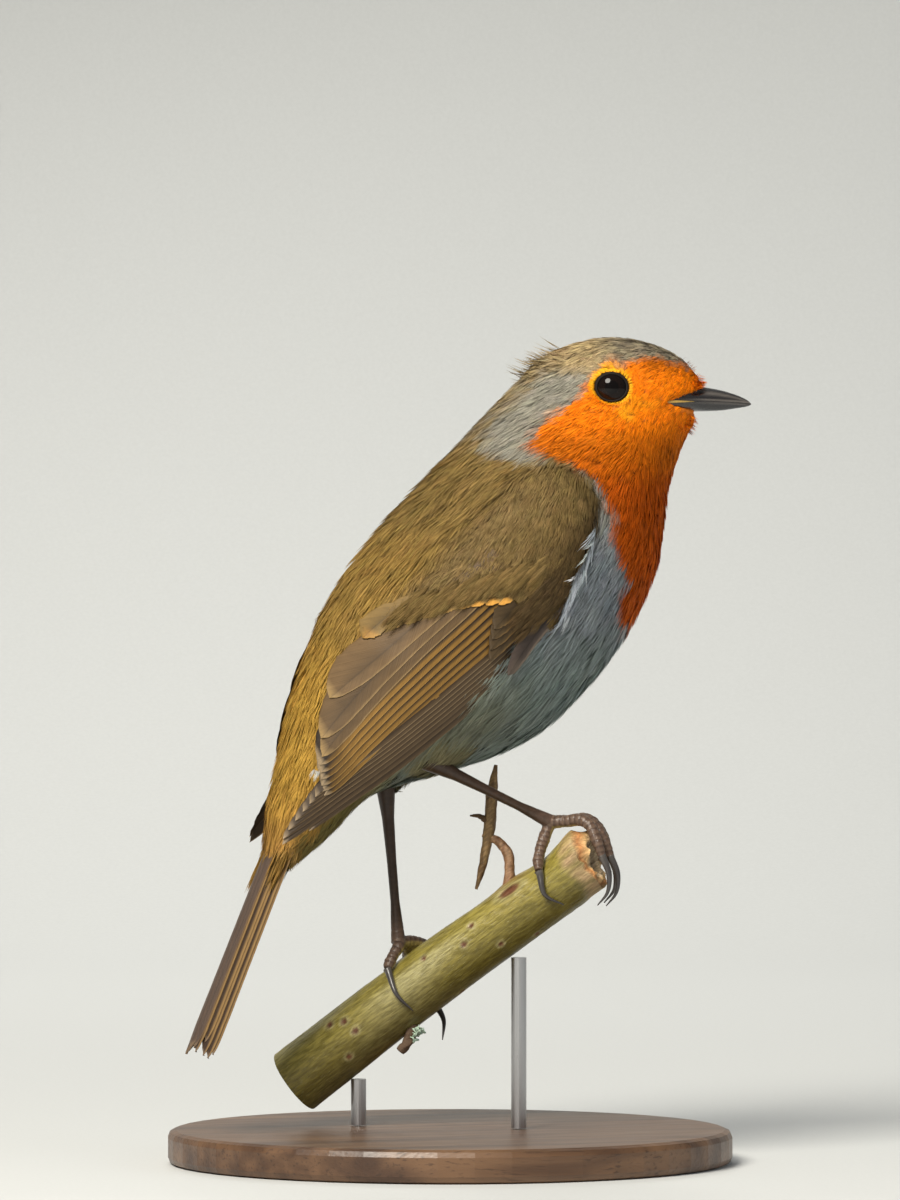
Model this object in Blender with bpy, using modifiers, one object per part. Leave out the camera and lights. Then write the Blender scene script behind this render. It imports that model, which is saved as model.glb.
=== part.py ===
"""A life-size museum model of a European robin gripping the broken end of a willow branch, on a plain stand.

Frame: the bird faces +X, its left is +Y and +Z is up. The origin is the middle of the stand's underside.
Every size below is in millimetres or degrees; the objects are built in metres.
"""

import math

import bmesh
import bpy
from mathutils import Matrix, Vector

MM = 0.001
GAP = 0.2  # air between pieces that touch
WELD = 1e-7  # metres
SHARP_ANGLE = 50  # an edge steeper than this stays crisp

# The body is one form, swept along the spine through these sections, tail first. A section is an ellipse
# across the spine: where its middle is, how steeply the spine rises there, its two half sizes, and how much
# of the head's turn it takes.
#     x      z    rise  deep  wide  turn
SPINE = (
    (-30.4, 48.6, 67, 1.4, 5.2, 0),  # end of the tail coverts
    (-27.6, 53.4, 67, 4.2, 6.6, 0),
    (-25.0, 58.2, 66, 6.2, 8.0, 0),
    (-21.9, 63.4, 65, 7.8, 10.0, 0),  # vent
    (-16.2, 68.7, 62, 12.5, 13.4, 0),
    (-9.0, 75.2, 57, 17.4, 16.8, 0),  # belly
    (-2.3, 81.8, 54, 20.8, 18.7, 0),
    (4.8, 89.5, 52, 21.7, 19.4, 0),
    (12.2, 97.5, 52, 21.4, 19.1, 0),  # breast
    (18.8, 107.0, 57, 19.5, 17.2, 0),  # shoulders
    (22.4, 115.8, 64, 16.4, 13.4, 0.2),
    (25.9, 121.8, 69, 14.7, 10.2, 0.55),  # throat and nape
    (28.3, 125.0, 66, 13.8, 8.3, 0.85),
    (31.4, 127.1, 58, 11.9, 7.6, 1),
    (34.7, 128.0, 47, 9.5, 6.9, 1),  # brow
    (38.2, 127.7, 33, 6.7, 5.2, 1),
    (40.8, 126.6, 18, 4.4, 3.3, 1),  # lores
    (42.4, 125.3, 8, 2.6, 1.9, 1),  # root of the bill
)
BODY_CUTS = {"rump": (0, 3), "trunk": (3, 9.5), "neck": (9.5, 10.5), "head": (10.5, 17)}
RING_SIDES = 24
RING_STEPS = 2  # rings from one section to the next
HEAD_TURN = -20  # the head looks to the bird's right
NECK_PIVOT_X = 23.4

EYE_PLACE = Vector((27.7, 5.2, 126.3))
EYE_RADIUS = 3.8
DISH_FLOOR = 2.65  # how far out from the eye's middle the hollow round it begins
DISH_DEPTH = 1.6
DISH_RADII = (2.8, 3.5)

MOUTH_Z = 123.9
#     x     up   down  wide
BILL = (
    (36.5, 2.8, 1.8, 3.0),
    (39.5, 2.7, 1.75, 2.55),
    (42.5, 2.3, 1.7, 2.05),
    (45.5, 1.75, 1.5, 1.45),
    (48.2, 1.1, 0.85, 0.85),
    (50.3, 0.25, 0.2, 0.28),
)
MOUTH_GAP = 0.14
BILL_FULLNESS = 0.8  # 1 makes each half of a section an ellipse, and less makes it squarer

# The folded wing is drawn in its own side view: "run" is measured from the shoulder towards the tip and
# "rise" across it, up the bird's side.
SHOULDER_X = 18.5
SHOULDER_Z = 105.5
WING_SLOPE = 46.2
WING_WIDTH_AT_RUN = (
    (-4, 17.4), (0, 18.7), (5, 20.0), (15, 21.0), (30, 20.8), (40, 19.2), (50, 16.4), (60, 13.2), (74, 10.6),
)
WING_ROUNDING_AT_RUN = ((-4, 0.028), (20, 0.028), (30, 0.030), (40, 0.038), (50, 0.047), (74, 0.055))
WING_CROWN_AT_RUN = ((-4, 1.5), (30, 1.0), (74, -1.0))
WING_LOWER_ROUNDING = 0.55  # below its crown, as a share of that above it
WING_DEPTH_AT_RUN = ((-4, 4.5), (30, 4.5), (45, 3.6), (55, 1.3), (74, 0.7))
WING_ROWS = 5
FEATHER_ROWS = {
    "coverts": {
        "drop": 0.0,
        "low": (
            (-4, 5.2), (-2.4, 1.4), (1.6, -1.2), (5, -2.7), (10, -3.6), (14, -5.1), (18, -7.0),
            (19.4, -6.2), (20.5, 2.8), (24, 5.7), (29.3, 9.4), (33, 11.6), (36.8, 13.3), (39.8, 14.1),
        ),
        "high": ((-4, 5.8), (-1, 11.0), (5, 14.0), (12, 15.4), (20, 16.2), (30, 16.2), (39.8, 14.6)),
    },
    "secondaries": {
        "drop": 0.5,
        "low": ((20.6, -2.6), (27, -1.7), (41, 0.3), (52.5, 1.6), (60, 1.2), (62.8, 0.7)),
        "high": (
            (20.6, -2.2), (21.3, 2.5), (24, 5.2), (29.3, 8.9), (33, 11.1), (36.8, 12.8), (40.4, 13.8),
            (44.3, 13.0), (47.7, 11.9), (50.6, 10.2), (54.8, 8.8), (57.9, 6.2), (60.5, 4.3), (62.8, 1.2),
        ),
    },
    "primaries": {
        "drop": 0.9,
        "low": (
            (19.8, -7.4), (31.4, -7.5), (37.4, -6.6), (43.8, -6.3), (51.4, -4.8), (61.3, -3.2), (70.7, -0.6),
            (72.9, 0.3),
        ),
        "high": (
            (19.8, -3.0), (27, -2.1), (41, -0.1), (52.5, 1.2), (60, 0.8), (63, 0.3), (65.5, 1.7), (70, 1.1),
            (72.9, 0.6),
        ),
    },
}

TAIL_ROOT = Vector((-24.0, 0, 62.5))
TAIL_TIP = Vector((-44.0, 0, 18.4))
TAIL_HALF_WIDTH = (5.2, 6.6)  # at the root and near the tip
TAIL_THICKNESS = (2.4, 1.0)
TAIL_ROOF = 1.2  # how far the middle feathers stand above the outer ones
TAIL_NOTCH = 2.4
TAIL_CORNER = 1.5  # how much shorter the outermost feathers are
TAIL_CORNER_FROM = 0.75  # where across the tail its corners begin
TAIL_WIDEST = 0.83  # where down the tail it reaches its full width
TAIL_COLUMNS = 12

# The branch, from its broken upper end down to its sawn lower end.
BRANCH_TOP = Vector((20.5, -11.1, 49.2))
BRANCH_FOOT = Vector((-20.6, 17.5, 12.6))
BRANCH_RADIUS = (4.75, 5.5)
BRANCH_BOW = 0.6
BRANCH_SIDES = 24
BREAK_SLANT = 0.08
# Points by the branch are measured along it from its broken end, up from its axis, and towards the bird's
# right. A dead twig hangs on a curled spur.
SPUR = ((-13.4, 3.4, 0.6), (-11.0, 6.2, 0.4), (-9.2, 8.7, 0.0), (-9.1, 11.4, -0.4), (-11.0, 13.9, -0.6))
SPUR_RADII = (1.1, 0.9, 0.95, 0.8, 0.6)
TWIG = ((-18.5, 7.2, -0.2), (-15.2, 9.9, -0.4), (-10.8, 14.3, -0.6), (-7.4, 18.5, -0.7), (-4.0, 22.1, -0.8))
TWIG_RADII = (0.3, 0.85, 1.05, 0.95, 0.3)

ANKLES = {"left": Vector((-7.9, 9.0, 60.8)), "right": Vector((-6.0, -9.3, 65.5))}
TIBIA_TOPS = {"left": Vector((-4.0, 8.4, 68.0)), "right": Vector((-4.6, -8.6, 71.0))}
THIGH_RADII = (3.7, 3.1, 2.1)
LEG_IN_THIGH = 0.8
TARSUS_RADII = (1.4, 0.9, 0.8, 0.84, 1.2)
FOOT_JOINTS = {"left": (-34.2, 7.6, 0.4), "right": (-1.7, 9.2, 0.3)}
TOE_RADII = (1.0, 0.85, 0.95, 0.8, 0.9, 0.66)
CLAW_RADII = (0.6, 0.52, 0.36, 0.1)
# Toes that lie round the branch, and their claws, pass through points given by how far along it they are, how
# many degrees round it from its upper side, and how high over the bark.
GRIPPING = {
    "left": {
        "hind": {
            "toe": ((-34.2, 10, 2.0), (-36.0, 26, 1.4), (-37.3, 40, 1.15)),
            "claw": ((-37.4, 47, 0.85), (-38.0, 86, 0.8), (-37.7, 125, 0.4)),
        },
        "inner": {
            "toe": ((-32.8, -18, 1.8), (-31.2, -56, 1.3), (-30.6, -94, 1.15)),
            "claw": ((-30.6, -101, 0.9), (-30.8, -126, 0.85), (-31.3, -150, 0.4)),
        },
        "middle": {
            "toe": ((-33.5, -18, 1.8), (-34.6, -72, 1.3), (-36.1, -124, 1.15)),
            "claw": ((-36.3, -131, 1.0), (-36.5, -152, 2.4), (-38.0, -170, 4.2)),
        },
        "outer": {
            "toe": ((-34.0, -18, 1.8), (-36.8, -56, 1.3), (-38.4, -92, 1.15)),
            "claw": ((-38.5, -99, 0.9), (-38.8, -124, 0.85), (-39.3, -147, 0.4)),
        },
    },
    "right": {
        "hind": {
            "toe": ((-3.8, 9, 2.9), (-5.9, 32, 1.5), (-6.9, 56, 1.15)),
            "claw": ((-7.1, 63, 0.9), (-8.2, 96, 0.85), (-7.0, 132, 0.4)),
        },
    },
}
# The right foot's front toes hang over the broken end: how far along and up the points of the longest one
# are, and how each toe differs from it in those and in its place across the branch.
HANGING_TOE = ((0.4, 7.9), (3.0, 6.3), (3.9, 4.2), (3.6, 1.4))
HANGING_TOE_TIP = (3.0, -1.0)
HANGING_CLAW = ((2.95, -1.3), (2.3, -4.0), (0.4, -6.3), (-2.3, -7.2))
HANGING = {"inner": (-0.7, 0.9, -3.2), "middle": (0.0, 0.0, -0.2), "outer": (-0.4, 0.6, 2.8)}

STAND_RADIUS = 46
STAND_HEIGHT = 5.5
STAND_EDGE = 1.2
ROD_RADIUS = 1.25
RODS = {"stand_rod_front": 0.24, "stand_rod_back": 0.78}  # how far down the branch each one holds it


def clear_scene():
    for thing in list(bpy.data.objects):
        bpy.data.objects.remove(thing)


def collection(name):
    made = bpy.data.collections.new(name)
    bpy.context.scene.collection.children.link(made)
    return made


def material(name, colour, roughness, metallic=0.0):
    made = bpy.data.materials.new(name)
    made.use_nodes = True
    shader = made.node_tree.nodes["Principled BSDF"]
    shader.inputs["Base Color"].default_value = (*colour, 1)
    shader.inputs["Roughness"].default_value = roughness
    shader.inputs["Metallic"].default_value = metallic
    return made


def table_value(table, at):
    """The value at a place in a table of (place, value), with straight runs between its rows."""
    if at <= table[0][0]:
        return table[0][1]
    for (a, low), (b, high) in zip(table, table[1:]):
        if at <= b:
            return low + (high - low) * (at - a) / (b - a)
    return table[-1][1]


def even(count):
    """Shares from 0 to 1, evenly spaced."""
    return [i / (count - 1) for i in range(count)]


def spread(values, share):
    """The value a share of the way through evenly spaced ones."""
    return table_value(tuple(zip(even(len(values)), values)), share)


def smooth_path(points, per_span):
    """Points on a Catmull-Rom curve through the given vectors or tuples, as lists of numbers."""
    rows = [list(point) for point in points]
    ahead = [2 * a - b for a, b in zip(rows[0], rows[1])]
    behind = [2 * a - b for a, b in zip(rows[-1], rows[-2])]
    rows = [ahead, *rows, behind]
    path = []
    for before, start, end, after in zip(rows, rows[1:], rows[2:], rows[3:]):
        for step in range(per_span):
            t = step / per_span
            place = []
            for a, b, c, d in zip(before, start, end, after):
                bend = (2 * a - 5 * b + 4 * c - d) * t**2 + (3 * b - a - 3 * c + d) * t**3
                place.append(0.5 * (2 * b + (c - a) * t + bend))
            path.append(place)
    return path + [rows[-2]]


def solid(name, bm, look, home):
    """Makes an object of a closed bmesh drawn in millimetres."""
    bmesh.ops.recalc_face_normals(bm, faces=bm.faces)
    bmesh.ops.scale(bm, vec=(MM, MM, MM), verts=bm.verts)
    mesh = bpy.data.meshes.new(name)
    bm.to_mesh(mesh)
    bm.free()
    made = bpy.data.objects.new(name, mesh)
    home.objects.link(made)
    made.data.materials.append(look)
    made.data.shade_smooth()
    made.data.set_sharp_from_angle(angle=math.radians(SHARP_ANGLE))
    return made


def loft(rings):
    """A closed bmesh through rings of points of one length, capped at both ends."""
    bm = bmesh.new()
    loops = [[bm.verts.new(point) for point in ring] for ring in rings]
    count = len(loops[0])
    for low, high in zip(loops, loops[1:]):
        for i in range(count):
            j = (i + 1) % count
            bm.faces.new((low[i], low[j], high[j], high[i]))
    bm.faces.new(loops[0])
    bm.faces.new(loops[-1])
    bmesh.ops.triangulate(bm, faces=bm.faces)
    return bm


def tube(name, points, radii, look, home, sides_level=1, per_span=3):
    """A round limb along a smooth path, thick as the radii say, as a curve made into a closed mesh."""
    path = smooth_path(points, per_span)
    curve = bpy.data.curves.new(name, "CURVE")
    curve.dimensions = "3D"
    curve.bevel_depth = MM
    curve.bevel_resolution = sides_level
    curve.use_fill_caps = True
    spline = curve.splines.new("POLY")
    spline.points.add(len(path) - 1)
    for point, (x, y, z), share in zip(spline.points, path, even(len(path))):
        point.co = (x * MM, y * MM, z * MM, 1)
        point.radius = spread(radii, share)
    made = bpy.data.objects.new(name + "_path", curve)
    home.objects.link(made)
    mesh_object = as_mesh(made, name, home)
    mesh_object.data.materials.clear()
    mesh_object.data.materials.append(look)
    return mesh_object


def as_mesh(source, name, home):
    """Replaces an object by the closed mesh that it evaluates to."""
    bpy.context.view_layer.update()
    graph = bpy.context.evaluated_depsgraph_get()
    mesh = bpy.data.meshes.new_from_object(source.evaluated_get(graph))
    mesh.transform(source.matrix_world)
    bm = bmesh.new()
    bm.from_mesh(mesh)
    bmesh.ops.remove_doubles(bm, verts=bm.verts, dist=WELD)
    bmesh.ops.triangulate(bm, faces=bm.faces)
    bmesh.ops.recalc_face_normals(bm, faces=bm.faces)
    bm.to_mesh(mesh)
    bm.free()
    bpy.data.objects.remove(source)
    mesh.name = name
    made = bpy.data.objects.new(name, mesh)
    home.objects.link(made)
    mesh.shade_smooth()
    mesh.set_sharp_from_angle(angle=math.radians(SHARP_ANGLE))
    return made


def joined(target, others, operation, home):
    """The target with a Boolean of the others applied to it."""
    for number, other in enumerate(others):
        step = target.modifiers.new(f"{operation}_{number}", "BOOLEAN")
        step.operation = operation
        step.object = other
        step.use_self = operation == "UNION"
    look = target.data.materials[0]
    name = target.name
    target.name = name + "_before"
    made = as_mesh(target, name, home)
    made.data.materials.clear()
    made.data.materials.append(look)
    if operation == "UNION":
        for other in others:
            bpy.data.objects.remove(other)
    return made


def helper(made):
    """Marks a cutter, which isn't part of the model."""
    made.hide_render = True
    made.display_type = "WIRE"
    return made


def turned(point, share):
    """A point of the straight bird, moved by a share of the head's turn about the neck."""
    pivot = Vector((NECK_PIVOT_X, 0, 0))
    return pivot + Matrix.Rotation(math.radians(HEAD_TURN * share), 3, "Z") @ (Vector(point) - pivot)


def body_ring(section, grow=0.0, shift=0.0):
    """One ring of the body, grown outwards and moved along the spine."""
    x, z, rise, deep, wide, share = section
    turn = Matrix.Rotation(math.radians(HEAD_TURN * share), 3, "Z")
    along = turn @ Vector((math.cos(math.radians(rise)), 0, math.sin(math.radians(rise))))
    across = turn @ Vector((0, 1, 0))
    up = along.cross(across)
    middle = turned((x, 0, z), share) + along * shift
    ring = []
    for i in range(RING_SIDES):
        angle = 2 * math.pi * i / RING_SIDES
        ring.append(middle + up * (deep + grow) * math.cos(angle) + across * (wide + grow) * math.sin(angle))
    return ring


def body_part(name, first, last, look, home, grow=0.0):
    """The body from one of its sections to another, drawn back half a gap where it meets its neighbour."""
    rows = smooth_path(SPINE, RING_STEPS)[round(first * RING_STEPS) : round(last * RING_STEPS) + 1]
    shifts = [0.0] * len(rows)
    if first > 0:
        shifts[0] = GAP / 2
    if last < len(SPINE) - 1:
        shifts[-1] = -GAP / 2
    rings = [body_ring(row, grow, shift) for row, shift in zip(rows, shifts)]
    return solid(name, loft(rings), look, home)


def ball(name, place, radius, look, home):
    bm = bmesh.new()
    bmesh.ops.create_uvsphere(bm, u_segments=18, v_segments=11, radius=radius)
    bmesh.ops.translate(bm, vec=place, verts=bm.verts)
    return solid(name, bm, look, home)


def make_eyes(head, looks, home, cutters):
    """Both eyes, each in a socket cut in the head, and the head with those sockets."""
    sockets = []
    for side, mirror in (("right", -1), ("left", 1)):
        middle = Vector((EYE_PLACE.x, EYE_PLACE.y * mirror, EYE_PLACE.z))
        outwards = Vector((0, mirror, 0))
        centre = turned(middle, 1)
        ball("eye_" + side, centre, EYE_RADIUS, looks["eye"], home)
        sockets.append(helper(ball("socket_" + side, centre, EYE_RADIUS + GAP, looks["eye"], cutters)))
        dish = bmesh.new()
        low, high = DISH_RADII
        bmesh.ops.create_cone(dish, cap_ends=True, segments=18, radius1=low, radius2=high, depth=DISH_DEPTH)
        place = turned(middle + outwards * (DISH_FLOOR + DISH_DEPTH / 2), 1)
        facing = (place - centre).to_track_quat("Z", "Y").to_matrix().to_4x4()
        bmesh.ops.transform(dish, matrix=Matrix.Translation(place) @ facing, verts=dish.verts)
        sockets.append(helper(solid("dish_" + side, dish, looks["eye"], cutters)))
    return joined(head, sockets, "DIFFERENCE", home)


def bill_half(row, sign, grow=0.0):
    """Half a section of the bill: flat along the mouth and rounded outwards."""
    x, up, down, wide = row
    high = (up if sign > 0 else down) - MOUTH_GAP / 2 + grow
    points = []
    for share in even(9):
        angle = math.pi * share
        rise = sign * (MOUTH_GAP / 2 + high * math.sin(angle) ** BILL_FULLNESS)
        points.append(turned((x, -(wide + grow) * math.cos(angle), MOUTH_Z + rise), 1))
    return points


def make_bill(head, looks, home, cutters):
    """The upper and lower mandibles, and the head with room cut in it for them."""
    rows = smooth_path(BILL, RING_STEPS)
    solid("bill_upper", loft([bill_half(row, 1) for row in rows]), looks["bill"], home)
    solid("bill_lower", loft([bill_half(row, -1) for row in rows]), looks["bill"], home)
    behind = [(rows[0][0] - GAP, *rows[0][1:])] + rows
    room = [bill_half(row, 1, GAP) + bill_half(row, -1, GAP)[::-1] for row in behind]
    cutter = helper(solid("bill_room", loft(room), looks["bill"], cutters))
    joined(head, [cutter], "DIFFERENCE", home)


def wing_point(run, rise, mirror, inwards):
    """A point of the folded wing, a depth in from its outer surface."""
    slope = math.radians(WING_SLOPE)
    x = SHOULDER_X - run * math.cos(slope) - rise * math.sin(slope)
    z = SHOULDER_Z - run * math.sin(slope) + rise * math.cos(slope)
    crown = table_value(WING_CROWN_AT_RUN, run)
    rounding = table_value(WING_ROUNDING_AT_RUN, run) * (1 if rise > crown else WING_LOWER_ROUNDING)
    wide = table_value(WING_WIDTH_AT_RUN, run) - rounding * (rise - crown) ** 2
    return Vector((x, mirror * (wide - inwards), z))


def make_wing_row(name, row, mirror, look, home, skin):
    """One row of the folded wing's feathers as a blade that lies on the body and ends free of it."""
    rings = []
    for run in sorted({run for run, _ in row["low"] + row["high"]}):
        low = table_value(row["low"], run)
        high = table_value(row["high"], run)
        depth = table_value(WING_DEPTH_AT_RUN, run)
        rises = [low + (high - low) * share for share in even(WING_ROWS)]
        outer = [wing_point(run, rise, mirror, row["drop"]) for rise in rises]
        inner = [wing_point(run, rise, mirror, row["drop"] + depth) for rise in reversed(rises)]
        rings.append(outer + inner)
    joined(solid(name, loft(rings), look, home), [skin], "DIFFERENCE", home)


def make_tail(looks, home, skin):
    """The folded tail: a shallow roof of feathers with a notched end."""
    along = (TAIL_TIP - TAIL_ROOT).normalized()
    length = (TAIL_TIP - TAIL_ROOT).length
    across = Vector((0, 1, 0))
    up = across.cross(along)
    rings = []
    for step in even(TAIL_COLUMNS):
        share = step * 2 - 1
        corner = TAIL_CORNER * max(0.0, abs(share) - TAIL_CORNER_FROM) / (1 - TAIL_CORNER_FROM)
        end = length - TAIL_NOTCH * (1 - abs(share)) ** 2 - corner
        ring = []
        for side, stops in ((1, even(5)), (-1, even(5)[::-1])):
            for t in stops:
                half = spread(TAIL_HALF_WIDTH, min(1.0, t / TAIL_WIDEST))
                thick = spread(TAIL_THICKNESS, t)
                lift = TAIL_ROOF * (1 - share**2) - TAIL_ROOF / 2 + side * thick / 2
                ring.append(TAIL_ROOT + along * end * t + across * half * share + up * lift)
        rings.append(ring)
    joined(solid("tail", loft(rings), looks["tail"], home), [skin], "DIFFERENCE", home)


def branch_axes():
    """The branch's own directions: along it, out of its upper side, and towards the bird's right."""
    along = (BRANCH_TOP - BRANCH_FOOT).normalized()
    up = (Vector((0, 0, 1)) - along * along.z).normalized()
    return along, up, along.cross(up)


def branch_share(along):
    return -along / (BRANCH_TOP - BRANCH_FOOT).length


def branch_radius(along):
    return BRANCH_RADIUS[0] + (BRANCH_RADIUS[1] - BRANCH_RADIUS[0]) * branch_share(along)


def by_branch(along, up, side):
    """A point measured from the branch's axis, which bows up a little."""
    a, u, s = branch_axes()
    share = min(max(branch_share(along), 0), 1)
    return BRANCH_TOP + a * along + u * (up + BRANCH_BOW * 4 * share * (1 - share)) + s * side


def round_branch(along, angle, height):
    """A point a height above the bark, at an angle in degrees round from the branch's upper side."""
    radius = branch_radius(along) + height
    return by_branch(along, radius * math.cos(math.radians(angle)), radius * math.sin(math.radians(angle)))


def make_perch(looks, home):
    """The branch with a broken, slightly slanting end, and the dead twig that hangs from its spur."""
    length = (BRANCH_TOP - BRANCH_FOOT).length
    rings = []
    for share in even(8):
        ring = []
        for i in range(BRANCH_SIDES):
            angle = 2 * math.pi * i / BRANCH_SIDES
            slant = BREAK_SLANT * (1 - share) * BRANCH_RADIUS[0] * math.cos(angle)
            ring.append(round_branch(-length * share, math.degrees(angle), 0) + branch_axes()[0] * slant)
        rings.append(ring)
    branch = solid("perch_branch", loft(rings), looks["bark"], home)
    spur = tube("spur", [by_branch(*point) for point in SPUR], SPUR_RADII, looks["bark"], home, 1, 2)
    twig = tube("twig", [by_branch(*point) for point in TWIG], TWIG_RADII, looks["bark"], home, 1, 2)
    joined(branch, [spur, twig], "UNION", home)


def foot_paths(side):
    """For each toe of a foot, its path from the foot joint and its claw's path."""
    joint = by_branch(*FOOT_JOINTS[side])
    paths = {}
    for name, points in GRIPPING[side].items():
        toe = [joint] + [round_branch(*point) for point in points["toe"]]
        claw = [round_branch(*point) for point in points["claw"]]
        paths[name] = (toe, claw)
    if side == "right":
        for name, (ahead, above, across) in HANGING.items():
            toe = [joint]
            for number, (along, up) in enumerate(HANGING_TOE):
                share = number / len(HANGING_TOE)
                spread_out = across * (share + 1 / len(HANGING_TOE))
                toe.append(by_branch(along + ahead * share, up + above * share, spread_out))
            along, up = HANGING_TOE_TIP
            toe.append(by_branch(along + ahead, up + above, across))
            claw = [by_branch(along + ahead, up + above, across) for along, up in HANGING_CLAW]
            paths[name] = (toe, claw)
    return paths


def make_leg(side, looks, home, cutters, skin):
    """The feathered thigh's lower end, the bare leg in it, the gripping foot and its four claws."""
    ankle = ANKLES[side]
    joint = by_branch(*FOOT_JOINTS[side])
    start = ankle - (joint - ankle).normalized() * LEG_IN_THIGH
    leg_path = [start.lerp(joint, share) for share in even(5)]
    room_radii = [radius + GAP for radius in TARSUS_RADII]
    room = tube("leg_room_" + side, leg_path, room_radii, looks["leg"], cutters, 2, 2)
    top = TIBIA_TOPS[side]
    thigh = tube("thigh_" + side, [top, top.lerp(ankle, 0.5), ankle], THIGH_RADII, looks["thigh"], home, 2, 2)
    joined(thigh, [skin, helper(room)], "DIFFERENCE", home)
    leg = tube("leg_" + side, leg_path, TARSUS_RADII, looks["leg"], home, 2, 2)
    leg = joined(leg, [skin], "DIFFERENCE", home)
    paths = foot_paths(side)
    toes = []
    for name, (toe, _) in paths.items():
        toes.append(tube(f"toe_{side}_{name}", toe, TOE_RADII, looks["leg"], home, 1, 2))
    joined(leg, toes, "UNION", home)
    for name, (_, claw) in paths.items():
        tube(f"claw_{side}_{name}", claw, CLAW_RADII, looks["claw"], home, 0, 3)


def upright_cylinder(name, radius, low, high, middle, sides, look, home):
    """A cylinder on end round a middle (x, y), from one height to another."""
    bpy.ops.mesh.primitive_cylinder_add(
        vertices=sides,
        radius=radius * MM,
        depth=(high - low) * MM,
        location=(middle[0] * MM, middle[1] * MM, (low + high) / 2 * MM),
    )
    made = bpy.context.object
    made.name = name
    for old in list(made.users_collection):
        old.objects.unlink(made)
    home.objects.link(made)
    made.data.materials.append(look)
    made.data.shade_smooth()
    made.data.set_sharp_from_angle(angle=math.radians(SHARP_ANGLE))
    return made


def make_stand(looks, home):
    """A turned wooden disc, with two steel rods that carry the branch."""
    base = upright_cylinder("stand_base", STAND_RADIUS, 0, STAND_HEIGHT, (0, 0), 48, looks["stand"], home)
    edge = base.modifiers.new("rounded_edge", "BEVEL")
    edge.width = STAND_EDGE * MM
    edge.segments = 2
    edge.limit_method = "ANGLE"
    length = (BRANCH_TOP - BRANCH_FOOT).length
    climb = branch_axes()[0].z
    steepness = math.tan(math.asin(climb))
    for name, share in RODS.items():
        hold = by_branch(-length * share, 0, 0)
        bark_drop = (branch_radius(-length * share) + GAP) / math.sqrt(1 - climb**2)
        top = hold.z - bark_drop - ROD_RADIUS * steepness
        foot = STAND_HEIGHT + GAP
        upright_cylinder(name, ROD_RADIUS, foot, top, (hold.x, hold.y), 20, looks["steel"], home)


def main():
    clear_scene()
    home = collection("european_robin")
    cutters = collection("cutters")
    looks = {
        "trunk": material("trunk", (0.30, 0.24, 0.14), 0.85),
        "neck": material("neck", (0.80, 0.27, 0.04), 0.85),
        "head": material("head", (0.86, 0.30, 0.03), 0.8),
        "rump": material("rump", (0.38, 0.29, 0.12), 0.85),
        "thigh": material("thigh", (0.55, 0.55, 0.50), 0.85),
        "coverts": material("coverts", (0.30, 0.24, 0.14), 0.75),
        "secondaries": material("secondaries", (0.27, 0.20, 0.12), 0.65),
        "primaries": material("primaries", (0.20, 0.16, 0.12), 0.6),
        "tail": material("tail", (0.28, 0.20, 0.12), 0.65),
        "bill": material("bill", (0.05, 0.045, 0.05), 0.3),
        "eye": material("eye", (0.01, 0.008, 0.008), 0.05),
        "leg": material("leg", (0.13, 0.08, 0.06), 0.45),
        "claw": material("claw", (0.06, 0.05, 0.05), 0.3),
        "bark": material("bark", (0.33, 0.34, 0.13), 0.6),
        "stand": material("stand", (0.12, 0.07, 0.04), 0.45),
        "steel": material("steel", (0.6, 0.6, 0.62), 0.3, 1.0),
    }
    skin = helper(body_part("whole_body", 0, len(SPINE) - 1, looks["trunk"], cutters, GAP))
    body = {name: body_part(name, *ends, looks[name], home) for name, ends in BODY_CUTS.items()}
    head = make_eyes(body["head"], looks, home, cutters)
    make_bill(head, looks, home, cutters)
    for side, mirror in (("right", -1), ("left", 1)):
        for kind, row in FEATHER_ROWS.items():
            make_wing_row(f"wing_{side}_{kind}", row, mirror, looks[kind], home, skin)
        make_leg(side, looks, home, cutters, skin)
    make_tail(looks, home, skin)
    make_perch(looks, home)
    make_stand(looks, home)


main()
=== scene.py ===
import math

import bmesh
import bpy
import numpy as np
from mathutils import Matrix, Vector
from mathutils.bvhtree import BVHTree


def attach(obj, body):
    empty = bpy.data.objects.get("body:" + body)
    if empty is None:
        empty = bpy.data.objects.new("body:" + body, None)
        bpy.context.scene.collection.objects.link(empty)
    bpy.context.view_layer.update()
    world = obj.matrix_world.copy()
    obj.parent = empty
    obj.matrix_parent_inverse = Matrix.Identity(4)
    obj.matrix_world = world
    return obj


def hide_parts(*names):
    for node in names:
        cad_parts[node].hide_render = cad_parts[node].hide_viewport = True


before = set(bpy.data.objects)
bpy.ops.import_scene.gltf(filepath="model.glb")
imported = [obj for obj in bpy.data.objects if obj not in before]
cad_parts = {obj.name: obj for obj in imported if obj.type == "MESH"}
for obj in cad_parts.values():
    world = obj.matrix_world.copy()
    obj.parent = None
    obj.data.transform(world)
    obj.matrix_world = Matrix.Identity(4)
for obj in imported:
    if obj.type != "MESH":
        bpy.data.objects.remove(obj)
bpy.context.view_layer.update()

# ---------------------------------------------------------------------------------------------------------
# The place it is shown in: a long lens level with the bird and a little behind its right side, a pale
# seamless sweep, and soft lamps, the strongest high on the tail's side.
# sizes here and below are millimetres or degrees; the bird faces +X, and its left is +Y
MM = 0.001
VIEW_AZIMUTH = -20
VIEW_ELEVATION = 2
VIEW_DISTANCE = 2168
VIEW_HEIGHT = 91.7
LENS = 400
SWEEP_RADIUS = 320
SWEEP_FRONT = 900
SWEEP_BACK = 520
SWEEP_HALF_WIDTH = 1500
SWEEP_HEIGHT = 1500
SWEEP_STEPS = 24
PAPER_DARK = (0.52, 0.53, 0.52)
PAPER_PALE = (0.57, 0.58, 0.57)
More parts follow.
